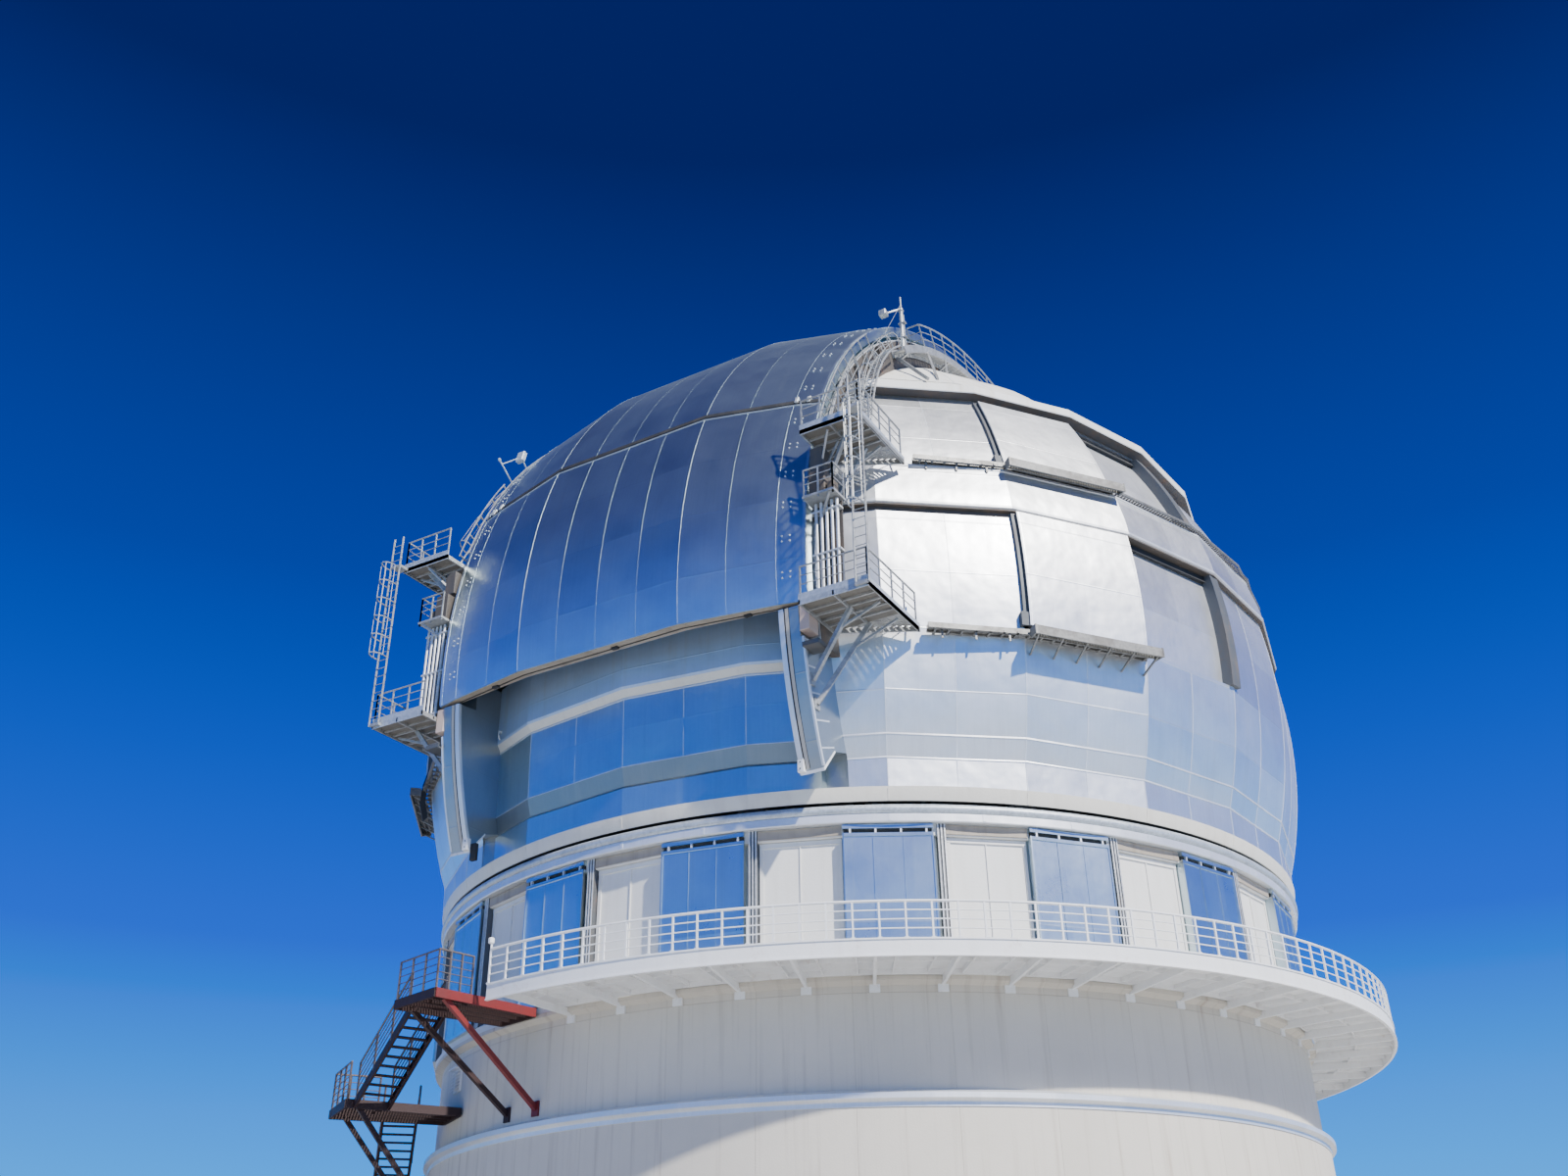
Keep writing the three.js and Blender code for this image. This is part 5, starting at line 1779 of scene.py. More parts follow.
@dataclass
class SlitWalls(SubAssembly):
    """The set-back wall under the shutter's lip and the fixed shell behind the slit."""

    front_half: float = LEG_X[0] - GAP
    rear_half: float = ARCH_X[0] - GAP
    rear: Point = (110.0, 205.0)
    rear_seams_end: float = 201.0
    beads: tuple[float, ...] = (-15, -7.5, 0, 7.5, 15)

    def tier(self, name: str, *profile: Point) -> None:
        """Adds a stretch of the front wall between the legs."""
        edge = X_AXIS * self.front_half
        self.piece(name).ring(profile, (-30, 30), FACET, ((edge, X_AXIS), (-edge, -X_AXIS)))

    def build(self) -> None:
        """Makes the meshes."""
        self.tier(
            "front_wall", (15.98, DOME_FOOT), (16.0, 17.88), (15.92, 17.96), (15.9, 18.0),
            (16.05, 18.57), (16.09, 19.7), (16.12, 20.85), (16.12, 20.9), (15.8, 20.9),
            (15.6, 19.2), (15.45, DOME_FOOT),
        )
        self.tier(
            "front_wall_head", (15.8, 21.12), (16.28, 21.12), (16.32, 21.2), (16.32, 22.2),
            (16.32, 23.2), (15.95, 23.2), (15.85, 21.75),
        )
        # The slope faces down and takes the darker sheets of painted shade.
        slope = ((15.88, 18.01), (15.91, 18.0), (16.06, 18.56), (16.03, 18.57))
        self.tier("front_wall_slope", *slope)
        sill = ((15.8, 20.9), (16.13, 20.9), (16.29, 21.12), (15.8, 21.12))
        self.tier("front_wall_sill", *sill)
        self.tier("front_wall_beads", *rectangle(16.1, 16.14, 20.84, 20.88))
        self.tier("front_wall_beads", *rectangle(16.02, 16.065, 18.56, 18.59))
        beads = self.piece("front_wall_beads")
        for az in self.beads:
            beads.strip([(16.05, 18.6), (16.12, 20.85)], az, 0.025, 0.005)
            beads.strip([(15.9, 18.0), (16.05, 18.57)], az, 0.02, 0.005)
        root = Vector((-5.95, facet_front(-5.95, 16.32), 21.5))
        tip = root - Y_AXIS * 0.14
        bent = [root, tip, tip - Z_AXIS * 0.16, tip - Z_AXIS * 0.3 + Y_AXIS * 0.08]
        self.piece("wall_hook").path(bent, 0.025)
        self.piece("wall_hook").box((0.2, 0.03, 0.14), [Matrix.Translation(root)])
        self._rear()

    def _rear(self) -> None:
        """The fixed shell behind the slit, with its ribs."""
        widths = spread(-self.rear_half, self.rear_half, 9)
        ends = ((Z_AXIS * DOME_FOOT, -Z_AXIS),)

        def across(outer: float, inner: float) -> list[Point]:
            """The places and distances of the shell's section."""
            top = [(x, math.sqrt(outer ** 2 - x ** 2)) for x in widths]
            return top + [(x, math.sqrt(inner ** 2 - x ** 2)) for x in reversed(widths)]

        self.piece("rear_wall").arch(across(SPHERE_R, SHELL_INNER), self.rear, 3.0, ends)
        seams = self.piece("rear_seams")
        for x in widths[1:-1]:
            rho = math.sqrt(SPHERE_R ** 2 - x ** 2)
            section = rectangle(x - 0.02, x + 0.02, rho - 0.03, rho + 0.010)
            seams.arch(section, (self.rear[0], self.rear_seams_end), 3.0, ends)
        for beta in spread(120, 195, 6):
            section = across(SPHERE_R + 0.010, SPHERE_R - 0.03)
            seams.arch(section, (beta - 0.08, beta + 0.08), 3.0, ends)

    def dress(self) -> None:
        """Gives each mesh its finish and its body."""
        wall = ["front_wall"]
        self.place(
            Body.DOME, wall, 10, front_wall=ALUMINIUM_WALL, front_wall_head=HEAD_METAL,
            front_wall_slope=SHADED_SLOPE_METAL, front_wall_sill=FASCIA,
        )
        self.place(Body.DOME, wall, 20, front_wall_beads=ALUMINIUM_TRIM)
        self.place(Body.DOME, wall_hook=ZINC)
        self.place(Body.DOME, ["rear_wall"], 20, rear_wall=ALUMINIUM_LEAF, rear_seams=GLINT_SEAM)


def facet_front(x: float, radius: float) -> float:
    """The y of the front wall's facet at a place across the slit."""
    azimuth = math.degrees(math.asin(x / radius))
    return -math.sqrt(facet(radius, azimuth) ** 2 - x ** 2)


@dataclass
class Shutter(SubAssembly):
    """The two leaves that run over the slit, with seams, bolts, lip and wheel trucks."""

    outer: tuple[Point, ...] = (
        (-7.15, 16.95), (-6.24, 17.2), (-3.1, 17.83), (3.1, 17.83), (6.24, 17.2), (7.15, 16.95),
    )
    inner: tuple[Point, ...] = (
        (7.15, 16.6), (6.2, 16.82), (3.1, 17.27), (-3.1, 17.27), (-6.2, 16.82), (-7.15, 16.6),
    )
    lower: Point = (-5.0, 22.75)
    upper: Point = (23.05, 112.0)
    summit: Point = (86.5, 93.5)
    rail: float = 16.4506
    wheels_at: float = 7.03
    edge_at: float = 7.09
    bolts_at: tuple[float, ...] = (-6.42, -6.66, 6.42, 6.66)
    lugs_at: tuple[float, ...] = (-6.7, -6.3, 6.3, 6.7)
    laps: tuple[float, ...] = (-4.65, -1.55, 0.0, 1.55, 4.65)
    seams: tuple[float, ...] = (-6.24, -4.65, -3.1, -1.55, 0.0, 1.55, 3.1, 4.65, 6.24)

    def skin(self, x: float) -> float:
        """The distance from the slit's axis to the outer face."""
        for (x0, rho0), (x1, rho1) in zip(self.outer, self.outer[1:]):
            if x0 <= x <= x1:
                return rho0 + (rho1 - rho0) * (x - x0) / (x1 - x0)
        raise ValueError(x)

    def shell(
        self, name: str, span: Point, over_skin: float, under_skin: float, draw_in: float,
    ) -> None:
        """Adds a thin layer that follows the outer face.

        Args:
            name: the piece.
            span: its first and last beta.
            over_skin: how far it stands over the face.
            under_skin: how far it reaches under it.
            draw_in: how much narrower than the leaf it is on each side.
        """
        near = [(x - math.copysign(draw_in, x) * (abs(x) > 7), rho) for x, rho in self.outer]
        top = [(x, rho + over_skin) for x, rho in near]
        bottom = [(x, rho - under_skin) for x, rho in reversed(near)]
        self.piece(name).arch([*top, *bottom], span, 1.5)

    def build(self) -> None:
        """Makes the meshes."""
        self.leaf("lower", self.lower, (0, 20))
        self.leaf("upper", self.upper, (30, 60, 85, 105))
        self._lip()
        self._joint()

    def leaf(self, name: str, span: Point, trucks: Sequence[float]) -> None:
        """Adds one leaf. Over its summit the seams are left out, where the box of the part ends.

        Args:
            name: lower or upper.
            span: its first and last beta.
            trucks: the betas of its wheel trucks.
        """
        self.piece(f"{name}_leaf").arch([*self.outer, *self.inner], span, 1.5)
        low, high = span[0] + 0.15, span[1] - 0.3
        seams, laps = self.piece(f"{name}_leaf_seams"), self.piece(f"{name}_leaf_laps")
        for x in self.seams:
            rho = self.skin(x)
            piece, half, proud = (laps, 0.005, 0.002) if x in self.laps else (seams, 0.008, 0.004)
            section = rectangle(x - half, x + half, rho - 0.02, rho + proud)
            for start, end in ((low, min(high, self.summit[0])), (self.summit[1], high)):
                if start < end:
                    piece.arch(section, (start, end), 1.5)
        # The edge strips carry the painted glint too.
        for side in (-self.edge_at, self.edge_at):
            seams.arch(rectangle(side - 0.05, side + 0.05, 16.93, 16.985), (low, high), 1.5)
        self._bolts(f"{name}_leaf_bolts", span)
        for beta in trucks:
            for x in (-self.wheels_at, self.wheels_at):
                frame = at_beta(beta, x, self.rail + 0.12)
                self.piece(f"{name}_leaf_trucks").box((0.13, 0.24, 0.22), [frame], 0.02)

    def _bolts(self, name: str, span: Point) -> None:
        """Groups of four bolt heads near both edges."""
        rows = spread(span[0] + 3.2, span[1] - 3.2, max(3, round((span[1] - span[0]) / 4.6)))
        places = [
            at_beta(beta + off, x, self.skin(x) + 0.008)
            for beta in rows for x in self.bolts_at for off in (-0.32, 0.32)
        ]
        bit = bmesh.new()
        bmesh.ops.create_cone(
            bit, cap_ends=True, segments=6, radius1=0.032, radius2=0.026, depth=0.03,
        )
        self.piece(name).take(bit, places)

    def _lip(self) -> None:
        """The soffit of the lower leaf with its drip line and brackets."""
        beta = self.lower[0]
        inset_outer = [(x * 0.992, rho - 0.03) for x, rho in self.outer]
        inset_inner = [(x * 0.992, rho + 0.03) for x, rho in self.inner]
        soffit = (beta - 0.04, beta + 0.2)
        self.piece("lip_soffit").arch([*inset_outer, *inset_inner], soffit, 1.0)
        middle = [(x * 0.99, self.skin(x * 0.99) - 0.36 + abs(x) * 0.012) for x, _ in self.outer]
        top = [(x, rho + 0.025) for x, rho in middle]
        bottom = [(x, rho - 0.025) for x, rho in reversed(middle)]
        self.piece("lip_line").arch([*top, *bottom], (beta - 0.09, beta + 0.1), 1.0)
        for x in (-4.4, 0.6, 5.2):
            frame = at_beta(beta - 0.12, x, self.skin(x) - 0.26)
            self.piece("lip_line").box((0.24, 0.1, 0.14), [frame], 0.01)

    def _joint(self) -> None:
        """The dark joint between the leaves, with an edge under it that carries a painted glint."""
        end, start = self.lower[1], self.upper[0]
        self.shell("leaf_joint_seal", (start - 0.14, start + 0.42), 0.02, 0.3, 0.03)
        self.shell("lower_leaf_seams", (end - 0.22, end - 0.02), 0.010, 0.02, 0.0)
        for x in self.lugs_at:
            frame = at_beta(start + 0.45, x, self.skin(x) + 0.03)
            self.piece("upper_leaf_bolts").box((0.12, 0.3, 0.07), [frame], 0.01)

    def dress(self) -> None:
        """Gives each mesh its finish and its body."""
        for leaf, body in (("lower", Body.LOWER_LEAF), ("upper", Body.UPPER_LEAF)):
            node = [f"shutter_{leaf}"]
            self.place(body, node, 5, **{f"{leaf}_leaf": ALUMINIUM_LEAF})
            self.place(body, node, 20, **{
                f"{leaf}_leaf_laps": ALUMINIUM_LEAF, f"{leaf}_leaf_seams": GLINT_SEAM,
                f"{leaf}_leaf_bolts": ZINC,
            })
            self.place(body, node, **{f"{leaf}_leaf_trucks": DARK_STEEL})
        self.place(Body.LOWER_LEAF, ["shutter_lower"], 20, lip_soffit=SOFFIT, lip_line=SEAL)
        self.place(Body.UPPER_LEAF, ["shutter_upper"], 20, leaf_joint_seal=SEAL)


@dataclass
class PanelTracks(SubAssembly):
    """Rails, brackets and trays on which the vent panels slide."""

    lower: float = 21.6
    upper: float = 28.05
    run: Point = (34.5, 60.0)
    wide: Point = (45.0, 60.0)
    long_run: Point = (60.0, 112.0)
    lower_reach: float = 0.80
    upper_reach: float = 0.75
    hangers: tuple[float, ...] = (36.0, 39.5, 43.0)

    def rows(
        self, piece: Workpiece, wall: float, height: float, span: Point,
        bars: Iterable[tuple[float, float, float, float]],
    ) -> None:
        """Adds bars that run along the shell on both sides.

        Args:
            piece: the piece.
            wall: the radius of the shell's corners.
            height: the height that the bars are measured from.
            span: their first and last azimuth.
            bars: near, far, low and high of each.
        """
        for near, far, low, high in bars:
            section = rectangle(wall + near, wall + far, height + low, height + high)
            piece.ring(section, span, FACET, copies=BOTH)

    def crossed(
        self, piece: Workpiece, wall: float, azimuths: Iterable[float], out: float, height: float,
        size: Sequence[float],
    ) -> None:
        """Adds a box across the bars at each azimuth, on both sides.

        Args:
            piece: the piece.
            wall: the radius of the shell's corners.
            azimuths: where the boxes stand.
            out: how far their middles stand out from the shell.
            height: the height of their middles.
            size: their size.
        """
        for az in azimuths:
            piece.box(size, mirrored(at_azimuth(az, facet(wall, az) + out, height)))

    def track(self, name: str, height: float, wall: float, reach: float) -> None:
        """Adds one track to both sides.

        Args:
            name: lower or upper.
            height: the underside of its rails.
            wall: the radius of the shell's corners beside it.
            reach: how far its tray stands out from the shell.
        """
        rails, tray = self.piece(f"{name}_track_rails"), self.piece(f"{name}_track_tray")
        self.rows(rails, wall, height, self.run, (
            (-0.03, 0.04, 0.0, 0.07), (0.06, 0.16, 0.05, 0.17), (0.27, 0.37, 0.05, 0.17),
            (0.30, 0.40, -0.02, 0.05),
        ))
        ties = spread(self.run[0] + 0.8, self.run[1] - 0.5, 18)
        self.crossed(rails, wall, ties, 0.19, height + 0.01, (0.42, 0.07, 0.06))
        self.crossed(rails, wall, self.hangers, 0.3, height - 0.12, (0.04, 0.06, 0.3))
        self.rows(tray, wall, height, self.wide, (
            (reach - 0.06, reach, -0.20, 0.10), (0.38, 0.44, -0.1, 0.05), (0.56, 0.60, -0.08, 0.03),
        ))
        first, last = self.wide
        bars, size = spread(first + 0.15, last - 0.15, 46), (reach - 0.42, 0.06, 0.05)
        self.crossed(tray, wall, bars, (0.4 + reach) / 2, height + 0.02, size)
        for az in spread(first + 0.5, last - 0.5, 6) if name == "lower" else ():
            frame, radius = at_azimuth(az), facet(wall, az)
            start = frame @ Vector((radius + reach - 0.06, 0, height - 0.12))
            end = frame @ Vector((radius - 0.05, 0, height - 0.5))
            tray.bar(start, end, 0.05, 0.05, copies=BOTH)
        ends, size = (first + 0.1, last - 0.1), (reach - 0.4, 0.06, 0.3)
        self.crossed(tray, wall, ends, reach / 2 + 0.2, height - 0.03, size)

    def build(self) -> None:
        """Makes the meshes."""
        wall = sphere_radius(self.upper) + 0.02
        self.track("lower", self.lower, sphere_radius(self.lower), self.lower_reach)
        self.track("upper", self.upper, wall, self.upper_reach)
        strip = self.piece("upper_track_rails")
        pair_of_rails = ((0.06, 0.12, 0.0, 0.08), (0.30, 0.36, 0.0, 0.08))
        self.rows(strip, wall, self.upper, self.long_run, pair_of_rails)
        rungs = spread(self.long_run[0] + 0.3, self.long_run[1] - 0.3, 110)
        self.crossed(strip, wall, rungs, 0.18, self.upper + 0.03, (0.36, 0.05, 0.04))

    def dress(self) -> None:
        """Gives each mesh its finish and its body."""
        steel = TRACK_STEEL
        lower, upper = pair("vent_track_lower"), pair("vent_track_upper")
        self.place(Body.DOME, lower, 20, lower_track_rails=steel, lower_track_tray=steel)
        self.place(Body.DOME, upper, 20, upper_track_rails=steel, upper_track_tray=steel)


@dataclass(frozen=True)
class Deck:
    """The sizes of one access platform."""

    height: float
    front: float
    outer: float
    skin: float
    struts: tuple[tuple[Point, tuple[float, float, float]], ...]

    def back(self, x: float) -> float:
        """The y of its back edge at a place across, where the shell begins."""
        return -math.sqrt(self.skin ** 2 - x ** 2)


@dataclass
class AccessTowers(SubAssembly):
    """Platforms beside the slit, with the caged ladders, struts, tubes and boxes between them."""

    near: float = ARCH_X[1] + 0.01
    lower: Deck = Deck(21.68, -17.6, 9.5, 17.1, (
        ((8.4, -16.6), (6.97, -16.39, 19.65)), ((8.4, -15.4), (6.97, -16.16, 18.97)),
    ))
    upper: Deck = Deck(27.88, -17.3, 9.3, 16.9, (
        ((8.6, -16.7), (7.21, -15.96, 26.05)), ((8.6, -15.5), (7.21, -15.6, 25.72)),
    ))
    ladder_x: float = 9.35
    ladder_y: float = -17.67
    ladder_width: float = 0.42
    cage_depth: float = 0.6
    ladder_heights: Point = (21.58, 28.98)
    cage_heights: Point = (24.1, 27.7)
    cage_from: float = 22.0
    ties: tuple[float, ...] = (20, 30, 40, 49)
    climb: Point = (16.3, 50.5)
    climb_rho: float = 16.1
    stage: float = 25.42
    stair_rho: float = 16.02
    stair_end: float = 33.0
    tubes: tuple[float, ...] = (7.45, 7.63, 7.81, 7.99, 8.17)
    tube_top: float = 25.3
    clamps: tuple[float, ...] = (21.9, 23.5, 25.0)
    bars: tuple[Point, ...] = ((1.0, 0.032), (0.72, 0.018), (0.45, 0.018))

    def railing(
        self, name: str, points: Sequence[Vector], height: float = GUARD, step: float = 0.75,
    ) -> None:
        """Adds a railing to both towers.

        Args:
            name: the piece.
            points: its corners, at floor level.
            height: the height of its top rail.
            step: about how far apart its posts stand.
        """
        piece = self.piece(name)
        for share, radius in self.bars:
            piece.path([point + Z_AXIS * height * share for point in points], radius, copies=BOTH)
        for start, end in zip(points, points[1:]):
            count = max(2, round((end - start).length / step) + 1)
            for share in spread(0, 1, count):
                post = start.lerp(end, share)
                foot, head = post - Z_AXIS * 0.15, post + Z_AXIS * height
                piece.bar(foot, head, 0.045, 0.045, X_AXIS, BOTH)

    def platform(self, name: str, deck: Deck) -> None:
        """Adds a platform: frame, pans, grating, kick plates, railing and struts.

        Args:
            name: lower or upper.
            deck: its sizes.
        """
        frame = self.piece(f"{name}_platform")
        z, front, near, outer = deck.height, deck.front, self.near, deck.outer
        back, corner = deck.back(near), deck.back(outer)
        for x, end in ((near + 0.03, back), ((near + outer) / 2, back), (outer - 0.03, corner)):
            frame.block((x - 0.03, front, z - 0.18), (x + 0.03, end, z - 0.03), BOTH)
        frame.block((near, front, z - 0.18), (outer, front + 0.06, z - 0.02), BOTH)
        start, end = Vector((near, back, z - 0.1)), Vector((outer, corner - 0.03, z - 0.1))
        frame.bar(start, end, 0.06, 0.16, copies=BOTH)
        for y in spread(front + 0.55, back - 0.35, 4):
            frame.block((near, y - 0.03, z - 0.15), (outer - 0.03, y + 0.03, z - 0.05), BOTH)
        # The pans under the grating take the dark finish of painted shade.
        low, high = (near + 0.02, front + 0.04, z - 0.075), (outer - 0.04, back + 0.1, z - 0.055)
        self.piece("platform_pans").block(low, high, BOTH)
        slope = (outer - near) / (corner - back)
        for y in spread(front + 0.07, corner - 0.10, round((corner - front) / 0.1)):
            inner = near + 0.05 + max(0.0, y - back + 0.05) * slope
            frame.block((inner, y - 0.03, z - 0.035), (outer - 0.05, y + 0.03, z), BOTH)
        for x in spread(near + 0.2, outer - 0.2, 4):
            frame.block((x - 0.02, front + 0.05, z - 0.06), (x + 0.02, back, z - 0.03), BOTH)
        self.piece(f"{name}_kick_plates").blocks([
            ((outer - 0.02, front, z - 0.18), (outer, corner, z + 0.10)),
            ((near, front, z - 0.20), (outer, front + 0.02, z + 0.17)),
        ])
        left, right, fore = near + 0.05, outer - 0.05, front + 0.05
        places = ((left, fore), (right, fore), (right, corner - 0.15))
        self.railing(f"{name}_railing", [Vector((x, y, z)) for x, y in places])
        for (x, y), foot in deck.struts:
            start, end = Vector((x, y, z - 0.12)), Vector(foot)
            frame.bar(start, end, 0.12, 0.14, copies=BOTH)
            head = Vector((outer - 0.2, y + 0.1, z - 0.16))
            frame.bar(start.lerp(end, 0.3), head, 0.06, 0.07, copies=BOTH)
            frame.box((0.03, 0.3, 0.36), mirrored(Matrix.Translation(end)))

    def ladder(self, name: str, frames: Sequence[Matrix], rungs: int) -> None:
        """Adds stiles and rungs through frames whose X runs across and Z outward.

        Args:
            name: the piece.
            frames: the stations from the foot up.
            rungs: how many rungs lie between two stations.
        """
        piece = self.piece(name)
        sides = [Vector((x, 0, 0)) for x in (-self.ladder_width / 2, self.ladder_width / 2)]
        for side in sides:
            piece.path([frame @ side for frame in frames], 0.036, copies=BOTH)
        for low, high in zip(frames, frames[1:]):
            for share in spread(0, 1, rungs + 1)[:-1]:
                ends = [(low @ side).lerp(high @ side, share) for side in sides]
                piece.rod(*ends, 0.016, 5, copies=BOTH)

    def cage(self, name: str, frames: Sequence[Matrix]) -> None:
        """Adds hoops at the frames and the straps that tie them."""
        piece = self.piece(name)
        half, depth = self.ladder_width / 2, self.cage_depth
        shape = []
        for angle in map(math.radians, spread(0, 180, 9)):
            across = -(half + 0.08 * math.sin(angle)) * math.cos(angle)
            shape.append(Vector((across, 0, depth * math.sin(angle))))
        for frame in frames:
            piece.path([frame @ point for point in shape], 0.024, 5, copies=BOTH)
        for point in shape[1:-1:2]:
            piece.path([frame @ point for frame in frames], 0.014, 4, copies=BOTH)

    def lean(self, beta: float) -> Matrix:
        """The frame of the arch ladder, which draws nearer to the slit as it climbs."""
        first, last = self.climb
        return at_beta(beta, 8.6 - 1.1 * (beta - first) / (last - first), self.climb_rho)

    def upright(self, low: float, high: float, count: int) -> list[Matrix]:
        """The frames of the upright ladder between two heights."""
        turn = Matrix.Rotation(math.radians(90), 4, "X")
        places = [(self.ladder_x, self.ladder_y, z) for z in spread(low, high, count)]
        return [Matrix.Translation(place) @ turn for place in places]

    def build(self) -> None:
        """Makes the meshes."""
        self.platform("lower", self.lower)
        self.platform("upper", self.upper)
        self.ladder("tower_ladders", self.upright(*self.ladder_heights, 9), 3)
        self.cage("tower_ladders", self.upright(*self.cage_heights, 6))
        for deck in (self.lower, self.upper):
            low = (self.ladder_x - 0.25, self.ladder_y - 0.03, deck.height - 0.14)
            high = (self.ladder_x + 0.15, deck.front, deck.height - 0.04)
            self.piece("tower_ladders").block(low, high, BOTH)
        self.ladder("arch_ladders", [self.lean(beta) for beta in spread(*self.climb, 9)], 4)
        caged = spread(self.cage_from, self.climb[1], 7)
        self.cage("arch_ladders", [self.lean(beta) for beta in caged])
        for beta in self.ties:
            start = at_beta(beta, self.near, self.climb_rho - 0.06).translation
            end = self.lean(beta) @ Vector((-0.18, 0, -0.06))
            self.piece("arch_ladders").bar(start, end, 0.1, 0.12, copies=BOTH)
        self._tubes()
        self._middle_stage()
        self._arch_stair()

    def _tubes(self) -> None:
        """The white tubes on the lower platform, in front of a dark sheet of painted shade that
        stands for the shade behind them.
        """
        tubes, floor, top = self.piece("tower_tubes"), self.lower.height, self.tube_top
        for x in self.tubes:
            tubes.rod(Vector((x, -16.78, floor)), Vector((x, -16.78, top)), 0.052, 10, copies=BOTH)
        for z in self.clamps:
            tubes.block((7.3, -16.83, z - 0.03), (8.28, -16.60, z + 0.03), BOTH)
        # Painted shade: a dark sheet and two thin bars, put where there is only shade between the
        # tubes and the girder.
        self.piece("tower_dark_sheets").blocks([
            ((7.3, -16.60, floor), (8.25, -16.56, top)),
            ((7.215, -16.62, 22.3), (7.30, -16.3, 22.4)),
            ((7.215, -16.62, 24.9), (7.30, -16.3, 25.0)),
        ])

    def _middle_stage(self) -> None:
        """The small stage half way up, with the boxes on it."""
        stage, z = self.piece("middle_stage"), self.stage
        stage.block((7.22, -17.25, z - 0.08), (8.3, -16.35, z), BOTH)
        for y in (-17.2, -16.5):
            for top, end, width in (
                (z - 0.08, (7.23, -16.38, 24.5), 0.07), (27.6, (7.25, -16.25, 26.4), 0.06),
            ):
                stage.bar(Vector((8.15, y, top)), Vector(end), width, width, copies=BOTH)
        places = ((7.26, -17.2), (8.26, -17.2), (8.26, -16.5))
        self.railing("middle_stage", [Vector((x, y, z)) for x, y in places], 0.95, 0.5)
        # The boxes take the dark steel of painted shade, because they stand in the tower's shade.
        self.piece("tower_boxes").blocks([
            ((7.3, -16.95, z), (7.85, -16.45, 26.45)),
            ((7.25, -16.75, 26.55), (7.7, -16.25, 27.45)),
            ((7.9, -16.9, z), (8.15, -16.6, 25.95)),
        ], 0.02)

    def _arch_stair(self) -> None:
        """The steps from the upper platform up the girder, and the handrail that runs on."""
        steps, rho, last = self.piece("arch_stairs"), self.stair_rho, self.stair_end
        for beta in spread(17.5, last, 17):
            steps.box((0.42, 0.10, 0.05), mirrored(at_beta(beta, 7.47, rho)))
        for x in (7.25, 7.69):
            steps.arch(rectangle(x - 0.015, x + 0.015, 15.94, 16.10), (17, last), copies=BOTH)
        for x, end in ((7.26, 44.0), (7.70, last)):
            for rise, radius in ((0.95, 0.028), (0.52, 0.018)):
                steps.arch(round_section(x, rho + rise, radius), (17, end), copies=BOTH)
            for beta in spread(17.3, end - 0.3, round((end - 17) / 3.6) + 1):
                steps.box((0.04, 0.04, 1.0), mirrored(at_beta(beta, x, 16.46)))

    def dress(self) -> None:
        """Gives each mesh its finish and its body."""
        for name in ("lower", "upper"):
            self.place(Body.DOME, pair(f"platform_{name}"), **{
                f"{name}_platform": TOWER_STEEL, f"{name}_kick_plates": KICK_PLATE,
                f"{name}_railing": TOWER_STEEL,
            })
        self.place(Body.DOME, platform_pans=SHADED_UNDERSIDE)
        self.place(Body.DOME, pair("tower_ladder"), tower_ladders=TOWER_STEEL)
        self.place(Body.DOME, pair("arch_ladder"), arch_ladders=TOWER_STEEL)
        self.place(
            Body.DOME, tower_tubes=ZINC, tower_dark_sheets=SHADED_STEEL, tower_boxes=SHADED_STEEL,
            middle_stage=TOWER_STEEL, arch_stairs=TOWER_STEEL,
        )


